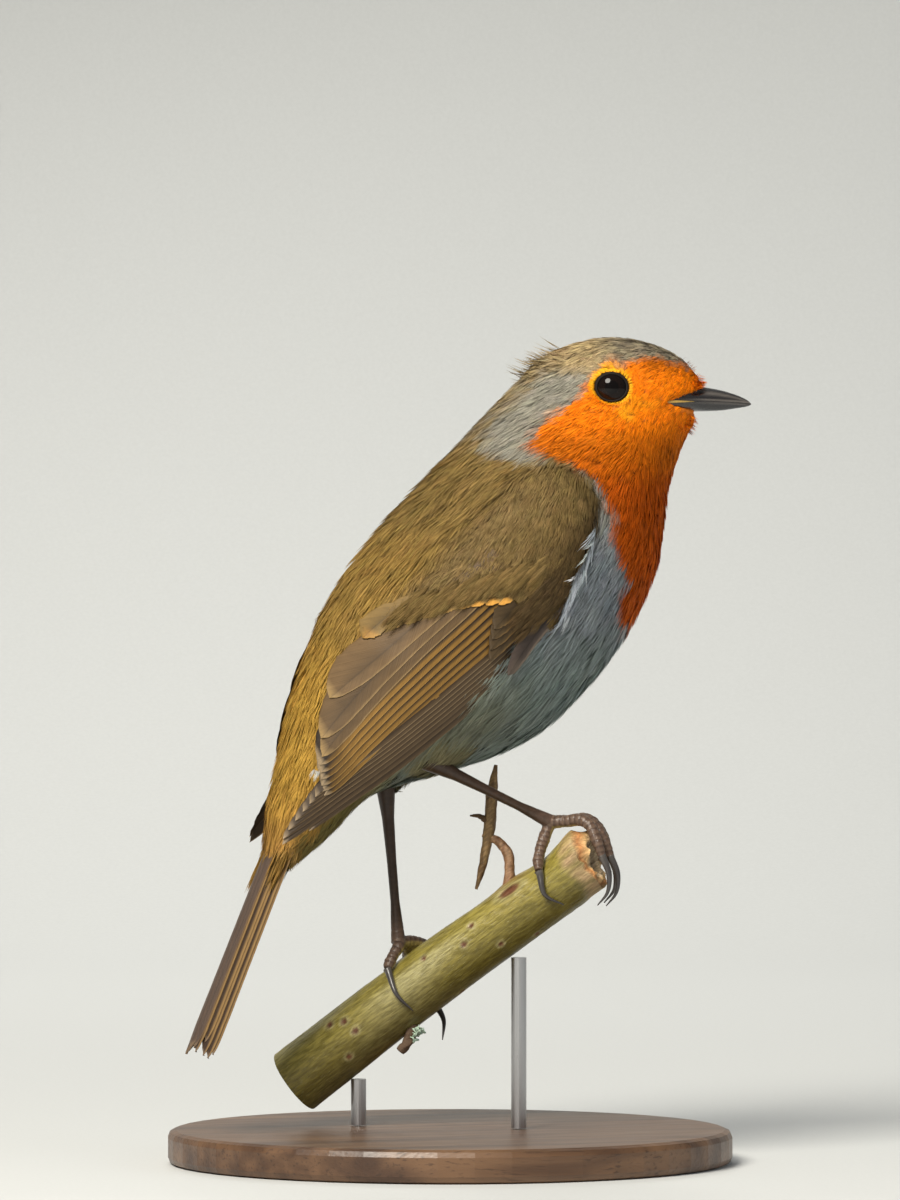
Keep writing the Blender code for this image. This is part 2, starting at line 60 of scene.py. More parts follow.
LAMPS = {
    # name: (place, aim, size, power in watts, colour)
    "key_lamp": ((-520, -470, 700), (0, 0, 90), 480, 15.0, (1.0, 0.95, 0.86)),
    "fill_lamp": ((560, -620, 260), (0, 0, 80), 500, 1.7, (0.88, 0.94, 1.0)),
    "back_lamp": ((150, 620, 520), (0, 0, 100), 350, 3.0, (1.0, 0.98, 0.94)),
}
WORLD_LIGHT = (0.62, 0.66, 0.70)
WORLD_STRENGTH = 0.24


class Shade:
    """One socket of a material's nodes, with arithmetic on values."""

    def __init__(self, tree, socket):
        self.tree = tree
        self.socket = socket

    def math(self, operation, *others):
        node = self.tree.nodes.new("ShaderNodeMath")
        node.operation = operation
        for slot, value in zip(node.inputs, (self, *others)):
            feed(self.tree, slot, value)
        return Shade(self.tree, node.outputs[0])

    def __add__(self, other):
        return self.math("ADD", other)

    def __mul__(self, other):
        return self.math("MULTIPLY", other)

    def __sub__(self, other):
        return self.math("SUBTRACT", other)

    def __rsub__(self, other):
        return (self * -1.0) + other

    def step(self, low, high):
        """0 below one value and 1 above the other, with a smooth way between."""
        node = self.tree.nodes.new("ShaderNodeMapRange")
        node.interpolation_type = "SMOOTHSTEP"
        feed(self.tree, node.inputs["Value"], self)
        feed(self.tree, node.inputs["From Min"], low)
        feed(self.tree, node.inputs["From Max"], high)
        return Shade(self.tree, node.outputs["Result"])


def feed(tree, slot, value):
    if isinstance(value, Shade):
        tree.links.new(value.socket, slot)
    else:
        slot.default_value = (*value, 1) if slot.type == "RGBA" else value


class Finish:
    """A material with one Principled shader, whose nodes are made by node() and mix()."""

    def __init__(self, name, **settings):
        self.material = bpy.data.materials.new(name)
        self.material.use_nodes = True
        self.tree = self.material.node_tree
        self.shader = self.tree.nodes["Principled BSDF"]
        for socket, value in settings.items():
            self.shader.inputs[socket.replace("_", " ")].default_value = value

    def node(self, kind, settings=None, output=0, values=(), **inputs):
        node = self.tree.nodes.new("ShaderNode" + kind)
        for name, value in (settings or {}).items():
            setattr(node, name, value)
        for slot, value in zip(node.inputs, values):
            feed(self.tree, slot, value)
        for name, value in inputs.items():
            feed(self.tree, node.inputs[name.replace("_", " ")], value)
        return Shade(self.tree, node.outputs[output])

    def mix(self, share, first, second, blend="MIX"):
        node = self.tree.nodes.new("ShaderNodeMix")
        node.data_type = "RGBA"
        node.blend_type = blend
        ends = [slot for slot in node.inputs if slot.type == "RGBA"]
        for slot, value in zip((node.inputs["Factor"], *ends), (share, first, second)):
            feed(self.tree, slot, value)
        return Shade(self.tree, next(slot for slot in node.outputs if slot.type == "RGBA"))

    def place(self):
        return self.node("TexCoord", output="Object")

    def noise(self, size, detail=2.0, stretch=(1, 1, 1), rough=0.5, output=0, vector=None):
        """Noise with a grain of so many millimetres, longer along the axes whose stretch is over 1."""
        spot = vector or self.place()
        scale = tuple(1 / (MM * size * s) for s in stretch)
        spot = self.node("Mapping", Vector=spot, Scale=scale)
        return self.node("TexNoise", output=output, Vector=spot, Scale=1.0, Detail=detail, Roughness=rough)

    def attribute(self, name, output="Color"):
        return self.node("Attribute", {"attribute_name": name}, output=output)

    def set(self, socket, value):
        feed(self.tree, self.shader.inputs[socket], value)

    def bump(self, height, distance):
        self.set("Normal", self.node("Bump", Height=height, Distance=distance * MM))

    def mottle(self, grain, low, high, colour=None):
        """The mesh's own colours, or another colour, made darker and lighter by a grain."""
        change = self.mix(grain, (low,) * 3, (high,) * 3)
        self.set("Base Color", self.mix(1.0, colour or self.attribute("plumage"), change, "MULTIPLY"))


def add_thing(name, data):
    """An object in the scene."""
    thing = bpy.data.objects.new(name, data)
    bpy.context.scene.collection.objects.link(thing)
    return thing


def make_view():
    scene = bpy.context.scene
    camera = bpy.data.cameras.new("view")
    camera.lens = LENS
    camera.clip_end = 20
    holder = add_thing("view", camera)
    side = math.radians(VIEW_AZIMUTH)
    up = math.radians(VIEW_ELEVATION)
    back = Vector((math.sin(side) * math.cos(up), -math.cos(side) * math.cos(up), math.sin(up)))
    holder.location = (Vector((0, 0, VIEW_HEIGHT)) + back * VIEW_DISTANCE) * MM
    holder.rotation_euler = back.to_track_quat("Z", "Y").to_euler()
    scene.camera = holder
    scene.view_settings.view_transform = "Standard"
    world = bpy.data.worlds.new("soft_sky")
    world.use_nodes = True
    sky = world.node_tree.nodes["Background"]
    sky.inputs["Color"].default_value = (*WORLD_LIGHT, 1)
    sky.inputs["Strength"].default_value = WORLD_STRENGTH
    scene.world = world
    for name, (place, aim, size, power, colour) in LAMPS.items():
        lamp = bpy.data.lights.new(name, "AREA")
        lamp.shape = "DISK"
        lamp.size = size * MM
        lamp.energy = power
        lamp.color = colour
        thing = add_thing(name, lamp)
        thing.visible_glossy = name == "key_lamp"
        thing.location = Vector(place) * MM
        thing.rotation_euler = (Vector(place) - Vector(aim)).to_track_quat("Z", "Y").to_euler()


def make_sweep():
    """The floor, which curves up behind into a wall as seamless paper does."""
    side = math.radians(VIEW_AZIMUTH)
    away = Vector((-math.sin(side), math.cos(side), 0))
    across = Vector((away.y, -away.x, 0))
    profile = [(-SWEEP_FRONT, 0.0), (SWEEP_BACK, 0.0)]
    for step in range(1, SWEEP_STEPS + 1):
        angle = math.pi / 2 * step / SWEEP_STEPS
        profile.append((SWEEP_BACK + SWEEP_RADIUS * math.sin(angle), SWEEP_RADIUS * (1 - math.cos(angle))))
    profile.append((SWEEP_BACK + SWEEP_RADIUS, SWEEP_HEIGHT))
    rows = []
    for out, high in profile:
        for edge in (-1, 1):
            spot = away * out + across * SWEEP_HALF_WIDTH * edge
            rows.append((spot.x * MM, spot.y * MM, high * MM))
    faces = [(2 * i, 2 * i + 1, 2 * i + 3, 2 * i + 2) for i in range(len(profile) - 1)]
    mesh = bpy.data.meshes.new("floor_sweep")
    mesh.from_pydata(rows, [], faces)
    mesh.shade_smooth()
    paper = Finish("paper", Roughness=0.9)
    grain = paper.noise(0.8, 3.0)
    paper.set("Base Color", paper.mix(grain, PAPER_DARK, PAPER_PALE))
    # clear from behind, so that it hides nothing in a view of the bird's other side
    paper.set("Alpha", 1.0 - paper.node("NewGeometry", output=6))
    mesh.materials.append(paper.material)
    sweep = add_thing("floor_sweep", mesh)


make_view()
make_sweep()

# ---------------------------------------------------------------------------------------------------------
# The body: one skin from the root of the bill to the root of the tail, with the shoulders of the closed wings
# and the feathered thighs in it. It is the solids' own form, drawn in by the depth of the coat that it wears.
SPINE = (
    # x, z, rise of the line in degrees, share of the head's turn
    (-30.4, 48.6, 67, 0.0),
    (-25.0, 58.2, 66, 0.0),
    (-16.2, 68.7, 62, 0.0),
    (-9.0, 75.2, 57, 0.0),
    (-2.3, 81.8, 54, 0.0),
    (4.8, 89.5, 52, 0.0),
    (12.2, 97.5, 52, 0.0),
    (18.8, 107.0, 57, 0.0),
    (22.4, 115.8, 64, 0.2),
    (25.9, 121.8, 69, 0.55),
    (28.3, 125.0, 66, 0.85),
    (31.4, 127.1, 58, 1.0),
    (34.7, 128.0, 47, 1.0),
    (38.2, 127.7, 33, 1.0),
    (40.8, 126.6, 18, 1.0),
    (42.4, 125.3, 8, 1.0),
)
SPINE_STEPS = 161
BODY_AT_ONCE = 20000
HEAD_TURN = -20
NECK_PIVOT_X = 23.4
SHOULDER = (18.5, 105.5)
WING_SLOPE = 46.2
WING_WIDTH = ((-4, 0, 5, 15, 30, 40, 50, 60, 74), (17.4, 18.7, 20.0, 21.0, 20.8, 19.2, 16.4, 13.2, 10.6))
WING_ROUNDING = ((-4, 20, 30, 40, 50, 74), (0.028, 0.028, 0.030, 0.038, 0.047, 0.055))
WING_CROWN = ((-4, 30, 74), (1.5, 1.0, -1.0))
LOWER_ROUNDING = 0.55
COVERTS_LOW = (
    (-4, -2.4, 1.6, 5, 10, 14, 18, 19.4, 20.5, 24, 29.3, 33, 36.8, 39.8),
    (5.2, 1.4, -1.2, -2.7, -3.6, -5.1, -7.0, -6.2, 2.8, 5.7, 9.4, 11.6, 13.3, 14.1),
)
THIGHS = (((-4, 8.4, 68), (-7.9, 9, 60.8)), ((-4.6, -8.6, 71), (-6, -9.3, 65.5)))
BILL_ROOT = (38.5, 0, 125.5)
MOUTH_CORNER = (36.6, 123.9)
GAPE_SLOPES = (0.36, 0.40)
GAPE_HALF = 0.10
EYE_PLACE = (27.7, 5.2, 126.3)
SKIN_VOXEL = 0.55
SKIN_ROUNDS = 6
SKIN_INSET = 0.75
SHOULDER_EASING = 80
COAT_DEPTHS = ((0, 3, 8, 15, 25, 40), (0.15, 0.22, 0.45, 0.75, 1.1, 1.35))
COAT_BY_EYE = ((3.8, 7.5), (0.55, 1.0))
WING_COAT = 0.6
THIGH_COAT = 0.8
GAPE_TUCK = 0.27
ORBIT_SIDES = 48
SOCKET_LEAN = 0.28
ORBIT_RIM = (2.5, 1.9, 1.15, 1.4, 2.75, 4.3, 4.25, 2.9)
ORBIT = (
    # radius, height by the eyeball, share of the head's own height there, how far below that
    (0.3, 1.2, 0.0, 0.0),
    (2.2, 1.2, 0.0, 0.0),
    (2.6, 2.2, 0.0, 0.0),
    (2.85, 2.75, 0.05, 0.0),
    (3.4, 2.8, 0.45, 0.0),
    (4.0, 2.7, 0.85, 0.0),
    (4.6, 2.6, 1.0, 0.05),
    (4.9, 2.6, 1.0, 1.2),
    (4.5, -3.6, 0.0, 0.0),
    (0.3, -3.6, 0.0, 0.0),
)
SKIN_NODES = ("head", "neck", "trunk", "rump")
SKIN_NODES += ("thigh_left", "thigh_right", "wing_left_coverts", "wing_right_coverts")


def ease(value, low, high):
    """0 up to one value and 1 from the other, with a smooth way between."""
    share = np.clip((value - low) / (high - low), 0, 1)
    return share * share * (3 - 2 * share)


def unit(vectors):
    return vectors / np.maximum(np.linalg.norm(vectors, axis=-1, keepdims=True), 1e-9)


def turn_flat(points, degrees, pivot):
    """Turned about an upright line through x = pivot."""
    angle = np.radians(degrees)
    x = points[:, 0] - pivot
    return np.stack(
        [
            pivot + x * np.cos(angle) - points[:, 1] * np.sin(angle),
            x * np.sin(angle) + points[:, 1] * np.cos(angle),
            points[:, 2],
        ],
        axis=1,
    )


def spine_stations():
    """Even steps along the spine: how far along, the share of the head's turn, the place and the rise."""
    table = np.array(SPINE)
    gaps = np.hypot(np.diff(table[:, 0]), np.diff(table[:, 1]))
    reach = np.concatenate([[0], np.cumsum(gaps)])
    steps = np.linspace(0, reach[-1], SPINE_STEPS)
    x, z, rise, turn = (np.interp(steps, reach, column) for column in table.T)
    flat = np.stack([x, 0 * x, z], axis=1)
    return steps, turn, turn_flat(flat, HEAD_TURN * turn, NECK_PIVOT_X), np.radians(rise)


STEPS, TURNS, CENTRES, RISES = spine_stations()


def on_body(points):
    """For each point: its way along the spine, the angle round it (0 is the back), and where it would be with
    the head facing straight ahead."""
    nearest = np.empty(len(points), int)
    for start in range(0, len(points), BODY_AT_ONCE):
        part = points[start : start + BODY_AT_ONCE]
        gaps = np.linalg.norm(part[:, None, :] - CENTRES[None], axis=2)
        nearest[start : start + BODY_AT_ONCE] = gaps.argmin(axis=1)
    straight = turn_flat(points, -HEAD_TURN * TURNS[nearest], NECK_PIVOT_X)
    flat = turn_flat(CENTRES[nearest], -HEAD_TURN * TURNS[nearest], NECK_PIVOT_X)
    out = straight - flat
    rise = RISES[nearest]
    up = -np.sin(rise) * out[:, 0] + np.cos(rise) * out[:, 2]
    return STEPS[nearest], np.degrees(np.arctan2(out[:, 1], up)), straight, nearest


def on_wing(points):
    """Run back along the closed wing, rise across it, and how far inside its face each point lies."""
    slope = math.radians(WING_SLOPE)
    back = SHOULDER[0] - points[:, 0]
    down = SHOULDER[1] - points[:, 2]
    run = back * math.cos(slope) + down * math.sin(slope)
    rise = back * math.sin(slope) - down * math.cos(slope)
    return run, rise, wing_width(run, rise) - np.abs(points[:, 1])


def wing_width(run, rise):
    crown = np.interp(run, *WING_CROWN)
    rounding = np.interp(run, *WING_ROUNDING) * np.where(rise < crown, LOWER_ROUNDING, 1.0)
    return np.interp(run, *WING_WIDTH) - rounding * (rise - crown) ** 2


def wing_coverts_share(points):
    """1 on the shoulder of the wing, where small feathers cover it, and 0 on the body."""
    run, rise, inside = on_wing(points)
    low = np.interp(run, *COVERTS_LOW)
    flat = ease(rise, low - 0.8, low + 0.4) * (1 - ease(rise, 12.5, 15.5))
    return flat * ease(run, -4.5, -2.5) * (1 - ease(run, 38, 41)) * (1 - ease(inside, 1.6, 2.8))


def thigh_share(points):
    """1 on the feathered thighs, and their own downward direction."""
    share = np.zeros(len(points))
    way = np.zeros((len(points), 3))
    for top, ankle in THIGHS:
        top, ankle = np.array(top, float), np.array(ankle, float)
        line = ankle - top
        place = np.clip((points - top) @ line / (line @ line), -0.2, 1)
        gap = np.linalg.norm(points - top - place[:, None] * line, axis=1)
        here = (1 - ease(gap, 4.2, 5.5)) * ease(place, 0.15, 0.5)
        way = np.where(here[:, None] > share[:, None], line / np.linalg.norm(line), way)
        share = np.maximum(share, here)
    return share, way


def eye_gap(straight):
    """How far each point lies from the middle of the eye on its side."""
    return np.linalg.norm(np.abs(straight) - EYE_PLACE, axis=1)


def coat_depth(straight, points):
    """How thick the coat lies on the skin: thin as a hair at the bill, thickest on the belly."""
    face = np.linalg.norm(straight - BILL_ROOT, axis=1)
    depth = np.interp(face, *COAT_DEPTHS)
    depth = depth * np.interp(eye_gap(straight), *COAT_BY_EYE)
    depth = depth + (WING_COAT - depth) * wing_coverts_share(points)
    return depth + (THIGH_COAT - depth) * thigh_share(points)[0]


def mesh_arrays(mesh):
    """A mesh's points in millimetres, and its outward direction at each."""
    arrays = []
    for key in ("co", "normal"):
        values = np.empty(len(mesh.vertices) * 3, np.float32)
        mesh.vertices.foreach_get(key, values)
        arrays.append(values.reshape(-1, 3).astype(float))
    return arrays[0] / MM, arrays[1]


def set_points(mesh, points):
    mesh.vertices.foreach_set("co", (points * MM).astype(np.float32).ravel())
    mesh.update()


def remeshed(thing, voxel, rounds):
    """A thing's form as one closed mesh of small even faces, smoothed so many times."""
    remesh = thing.modifiers.new("remesh", "REMESH")
    remesh.mode = "VOXEL"
    remesh.voxel_size = voxel * MM
    smooth = thing.modifiers.new("smooth", "SMOOTH")
    smooth.iterations = rounds
    graph = bpy.context.evaluated_depsgraph_get()
    made = bpy.data.meshes.new_from_object(thing.evaluated_get(graph))
    thing.modifiers.clear()
    return made


def add_colours(mesh, name, colours):
    """A colour on each point of a mesh."""
    layer = mesh.color_attributes.new(name, "FLOAT_COLOR", "POINT")
    full = np.ones((len(mesh.vertices), 4), np.float32)
    full[:, :3] = colours
    layer.data.foreach_set("color", full.ravel())


def mouth_wedge(straight):
    """How far inside the wedge of bare gape each point lies, from the corner of the mouth forwards."""
    ahead = straight[:, 0] - MOUTH_CORNER[0]
    above = straight[:, 2] - MOUTH_CORNER[1]
    upper, lower = (GAPE_HALF + slope * ahead for slope in GAPE_SLOPES)
    wedge = np.where(above > 0, upper - above, lower + above)
    return np.where(ahead > 0, wedge, np.minimum(wedge, ahead))


def eased_shoulders(mesh, points):
    """Points of the skin with the wing's front and upper edges melted into the body beside them."""
    run, rise, inside = on_wing(points)
    band = ease(rise, 8.5, 11.5) * (1 - ease(run, 34, 40)) + (1 - ease(run, -1, 4)) * ease(rise, -3.5, -0.5)
    share = np.clip(band, 0, 1) * (1 - ease(inside, 4.0, 7.0)) * ease(run, -12, -8)
    ends = np.empty(len(mesh.edges) * 2, np.int32)
    mesh.edges.foreach_get("vertices", ends)
    ends = ends.reshape(-1, 2)
    count = np.bincount(ends.ravel(), minlength=len(points))[:, None]
    for _ in range(SHOULDER_EASING):
        total = np.zeros_like(points)
        for axis in range(3):
            total[:, axis] = np.bincount(ends[:, 0], points[ends[:, 1], axis], len(points))
            total[:, axis] += np.bincount(ends[:, 1], points[ends[:, 0], axis], len(points))
        points = points + (total / count - points) * (0.6 * share[:, None])
    return points


def add_orbit(form, mirror):
    """The soft rim of an eye socket, which closes the gap between the eyeball and the head."""
    around = np.arange(ORBIT_SIDES) * 2 * math.pi / ORBIT_SIDES
    rim = np.interp(np.degrees(around), np.arange(9) * 45, ORBIT_RIM + ORBIT_RIM[:1])
    rings = []
    for radius, own, share, drop in ORBIT:
        height = own + (rim - own) * share - drop + SOCKET_LEAN * (1 - share) * np.sin(around) ** 2
        tall = radius * np.interp(radius, (2.9, 4.2), (0.88, 1.0))
        spots = np.stack([radius * np.cos(around), mirror * height, tall * np.sin(around)], axis=1)
        spots = turn_flat(spots + np.array(EYE_PLACE) * (1, mirror, 1), HEAD_TURN, NECK_PIVOT_X)
        rings.append([form.verts.new(spot) for spot in spots * MM])
    form.faces.new(rings[0])
    form.faces.new(rings[-1][::-1])
    for low, high in zip(rings, rings[1:]):
        for i in range(ORBIT_SIDES):
            j = (i + 1) % ORBIT_SIDES
            form.faces.new((low[i], low[j], high[j], high[i]))


def make_skin_form():
    """The soft solids as one closed mesh, drawn in by the coat's depth."""
    form = bmesh.new()
    for node in SKIN_NODES:
        form.from_mesh(bpy.data.objects[node].data)
    add_orbit(form, -1)
    add_orbit(form, 1)
    bmesh.ops.remove_doubles(form, verts=form.verts, dist=1e-7)
    mesh = bpy.data.meshes.new("skin")
    form.to_mesh(mesh)
    form.free()
    skin = add_thing("skin", mesh)
    made = remeshed(skin, SKIN_VOXEL, SKIN_ROUNDS)
    skin.data = made
    bpy.data.meshes.remove(mesh)
    set_points(made, eased_shoulders(made, mesh_arrays(made)[0]))
    points, normals = mesh_arrays(made)
    _, _, straight, nearest = on_body(points)
    points -= normals * (SKIN_INSET * coat_depth(straight, points))[:, None]
    # the skin draws in towards the gape, where the bill widens out of it
    tuck = GAPE_TUCK * ease(mouth_wedge(straight), -0.5, 0.8)
    middle = turn_flat(straight * (1, 0, 1), HEAD_TURN * TURNS[nearest], NECK_PIVOT_X)
    set_points(made, points + (middle - points) * tuck[:, None])
    made.shade_smooth()
    made.name = "skin"
    return skin


skin = make_skin_form()
SKIN_POINTS = mesh_arrays(skin.data)[0]
SKIN_TREE = BVHTree.FromObject(skin, bpy.context.evaluated_depsgraph_get())

# ---------------------------------------------------------------------------------------------------------
# The plumage's colours: an orange face and breast, a band of blue-grey round it from the crown to the side of
# the breast, olive brown above and behind, a white belly and buff flanks. Skin and feathers share them.
ORANGE_EDGE = (
    # x and z round each patch, as seen from the side with the head straight
    (41.0, 129.2), (39.0, 130.0), (36.0, 130.5), (30.0, 130.5), (26.2, 130.0), (24.2, 128.8),
    (23.2, 126.7), (21.5, 124.6), (17.5, 123.0), (14.0, 120.7), (10.8, 118.2), (9.2, 116.3),
    (12.0, 114.2), (15.2, 113.2), (19.4, 111.4), (20.6, 108.2), (21.8, 105.0), (21.7, 101.0),
    (23.8, 96.8), (25.9, 94.3), (23.5, 91.9), (23.4, 88.3), (26.8, 86.8), (60.0, 84.0),
    (60.0, 128.6),
)
UNDER_EDGE = (
    (24.0, 136.0), (19.3, 131.9), (15.4, 127.4), (11.4, 124.2), (7.3, 121.0), (4.4, 117.8),
    (3.1, 115.4), (4.8, 114.2), (10.4, 112.5), (15.3, 111.0), (17.5, 108.6), (14.0, 102.0),
    (9.0, 94.0), (2.0, 86.0), (-5.0, 79.5), (-13.0, 72.5), (-19.5, 65.5), (-24.5, 58.0),
    (-28.5, 52.4), (-31.5, 47.0), (0.0, 30.0), (60.0, 30.0), (60.0, 136.0),
)
FOREHEAD = (0.52, 0.122, 0.003)
EYE_RING = (0.88, 0.42, 0.012)
CHEEK = (0.93, 0.222, 0.003)
THROAT = (0.58, 0.135, 0.003)
# the breast's orange is darker than the cheek's: painted shade on the breast
BREAST_WITH_PAINTED_SHADE = (0.50, 0.088, 0.003)
CROWN_GREY = (0.30, 0.25, 0.165)
CROWN_BROWN = (0.46, 0.34, 0.175)
CROWN_FLECK = (0.09, 0.075, 0.06)
NAPE = (0.40, 0.32, 0.19)
BAND = (0.29, 0.27, 0.215)
BREAST_SIDE = (0.26, 0.285, 0.30)
# the white belly, buff flanks and undertail are painted darker than their own colours: painted shade on the
# underside
BELLY_WITH_PAINTED_SHADE = (0.225, 0.27, 0.245)
FLANK_WITH_PAINTED_SHADE = (0.175, 0.17, 0.10)
UNDERTAIL_WITH_PAINTED_SHADE = (0.19, 0.155, 0.05)
HIND_NECK = (0.25, 0.18, 0.08)
MANTLE = (0.225, 0.146, 0.046)
LOWER_BACK = (0.295, 0.182, 0.047)
RUMP = (0.43, 0.25, 0.045)
TAIL_COVERTS = (0.38, 0.20, 0.05)
SHOULDER_BROWN = (0.19, 0.125, 0.045)
SHOULDER_DARK = (0.075, 0.047, 0.020)
THIGH = (0.22, 0.20, 0.11)
PALE_PATCH = (26.9, 126.9)
# the skin takes the plumage's colours darkened: the darker under-plumage, and painted shade beneath the coat
SKIN_DARKENING_AND_PAINTED_SHADE = 0.62
OUTLINE_AT_ONCE = 50000


def inside(points, outline):
    """How deep each (x, z) lies inside an outline; below 0 outside it."""
    ends = np.array(outline, float)
    starts = np.roll(ends, 1, axis=0)
    deep = np.empty(len(points))
    for begin in range(0, len(points), OUTLINE_AT_ONCE):
        part = points[begin : begin + OUTLINE_AT_ONCE, None, :]
        line = (ends - starts)[None]
        gap = part - starts[None]
        share = np.clip((gap * line).sum(2) / (line * line).sum(2), 0, 1)
        near = np.linalg.norm(gap - share[..., None] * line, axis=2).min(1)
        above = (starts[None, :, 1] > part[..., 1]) != (ends[None, :, 1] > part[..., 1])
        rise = np.where(line[..., 1] == 0, 1e-9, line[..., 1])
        cross = starts[None, :, 0] + gap[..., 1] * line[..., 0] / rise
        odd = (above & (part[..., 0] < cross)).sum(1) % 2 == 1
        deep[begin : begin + OUTLINE_AT_ONCE] = np.where(odd, near, -near)
    return deep


def blend_to(colour, other, share):
    """A colour, or one for each point, brought a share of the way to another."""
    colour = np.asarray(colour, float)
    return colour + (np.asarray(other) - colour) * share[..., None]


def wobble(points, size, seed):
    """Slow random change over the body, about -1 to 1, with waves of so many millimetres."""
    random = np.random.default_rng(seed)
    total = np.zeros(len(points))
    for _ in range(7):
        way = unit(random.normal(size=3)) / size * random.uniform(0.7, 1.5)
        total += np.sin(points @ way * 2 * math.pi + random.uniform(0, 2 * math.pi))
    return total / 3.5


def plumage(points, straight):
    """The colour of the feathers at each point of the body."""
    ragged = wobble(straight, 4.0, 3) * 0.5 + wobble(straight, 1.6, 4) * 0.35
    side = straight[:, [0, 2]]
    orange = ease(inside(side, ORANGE_EDGE) + ragged, -0.6, 0.7)
    under = ease(inside(side, UNDER_EDGE) + ragged, -0.9, 1.1)
    back, _, high = straight.T

    nape = 0.6 * ease(high, 120, 128) * ease(20 - back, 0, 5) * ease(wobble(straight, 3, 5), -0.6, 0.6)
    colour = blend_to(MANTLE, HIND_NECK, ease(high, 112, 122))
    colour = blend_to(colour, NAPE, nape)
    colour = blend_to(colour, CROWN_BROWN, ease(high, 123, 131) * ease(back, 12, 19))
    colour = blend_to(colour, LOWER_BACK, ease(-back, -2, 14) * (1 - ease(high, 96, 108)))
    colour = blend_to(colour, RUMP, ease(-back, 19, 26))
    colour = blend_to(colour, TAIL_COVERTS, ease(62 - high, 0, 12) * ease(-back, 20, 28))

    cap = ease(high, 127.0, 130.0) * ease(back, 14, 19)
    flecks = 0.65 * cap * ease(back, 22, 30) * ease(wobble(straight, 1.3, 9), 0.0, 0.4)
    flank = ease(np.abs(straight[:, 1]), 7, 15) * (1 - ease(high, 72, 86)) * ease(-back, -14, 2)
    below = blend_to(BAND, CROWN_GREY, cap)
    below = blend_to(below, CROWN_BROWN, cap * (1 - ease(back, 23, 30)))
    below = blend_to(below, CROWN_FLECK, flecks)
    below = blend_to(below, BREAST_SIDE, 1 - ease(high, 98, 108))
    # painted shade on the underside: the belly, flanks and undertail take darkened colours
    below = blend_to(below, BELLY_WITH_PAINTED_SHADE, 1 - ease(high, 78, 92))
    below = blend_to(below, FLANK_WITH_PAINTED_SHADE, 0.75 * flank)
    below = blend_to(below, UNDERTAIL_WITH_PAINTED_SHADE, ease(-back, 8, 20))

    # the orange grows darker down the throat to the breast: painted shade on the lower face and breast
    face = blend_to(BREAST_WITH_PAINTED_SHADE, THROAT, ease(high, 108, 116))
    face = blend_to(face, CHEEK, ease(high, 116, 121))
    face = blend_to(face, FOREHEAD, ease(high, 127, 130) * ease(back, 30, 34))
    colour = blend_to(blend_to(colour, below, under), face, orange)

    run, rise, _ = on_wing(points)
    dark = (1 - ease(rise, -1.0, 4.5)) * (1 - ease(run, 12, 24))
    small = blend_to(SHOULDER_BROWN, SHOULDER_DARK, 0.85 * dark)
    colour = blend_to(colour, small, wing_coverts_share(points))
    colour = blend_to(colour, THIGH, thigh_share(points)[0])

    eye = eye_gap(straight)
    patch = np.linalg.norm(side - PALE_PATCH, axis=1)
    streak = np.hypot((back - 31.5) / 4.5, (high - (123.6 - 0.12 * (back - 31.5))) / 1.5)
    # the ring of fine yellow feathers is widest behind the eye, with a second pale patch below it
    ring = (0.55 + 0.4 * ease(EYE_PLACE[0] - back, -2.0, 2.0)) * (1 - ease(eye, 3.9, 4.3))
    lower = np.hypot(back - EYE_PLACE[0] - 1.6, (high - EYE_PLACE[2] + 4.4) / 0.8)
    yellow = np.maximum(ring, 0.75 * (1 - ease(patch, 3.1, 4.1)))
    yellow = np.maximum(yellow, 0.55 * (1 - ease(lower, 0.8, 2.7)))
    yellow = np.maximum(yellow, 0.30 * (1 - ease(streak, 0.5, 1.1)))
    return blend_to(colour, EYE_RING, yellow * orange)


def dress_skin():
    # the skin's colours are the plumage's darkened, partly as painted shade in the gaps of the coat
    add_colours(skin.data, "plumage", SKIN_DARKENING_AND_PAINTED_SHADE * plumage(SKIN_POINTS, on_body(SKIN_POINTS)[2]))
    hide = Finish("skin_under_feathers", Roughness=0.85)
    fine = hide.noise(0.5, 4.0)
    hide.mottle(fine, 0.7, 1.25)
    hide.bump(fine, 0.15)
    skin.data.materials.append(hide.material)
    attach(skin, "root")
    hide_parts(*SKIN_NODES)


dress_skin()

# ---------------------------------------------------------------------------------------------------------
# The coat: small soft feathers rooted in the skin, each a fan of fine barbs that lies back over the roots of
# the next. They are shortest and closest on the face, and longest and loosest on the belly and the rump.
BARB_STATIONS = (0.0, 0.36, 0.7, 1.0)
BARB_SHAPE = (0.75, 1.0, 0.72, 0.0)
BARB_POINTS = 7
BARB_STRIP = ((0, 1, 3), (0, 3, 2), (2, 3, 5), (2, 5, 4), (4, 5, 6))
# each barb is painted darker towards its root: painted shade in the gaps between feathers
BARB_PAINTED_SHADE = (0.6, 0.6, 0.88, 0.88, 1.0, 1.0, 1.06)
# each barb's own small patch of the coat's map, round its feather's place on the body
PATCH_SIZE = 0.0015
PATCH_ACROSS = (-1, 1, -1, 1, -1, 1, 0.0)
PATCH_ALONG = (-0.9, -0.9, -0.25, -0.25, 0.4, 0.4, 0.9)
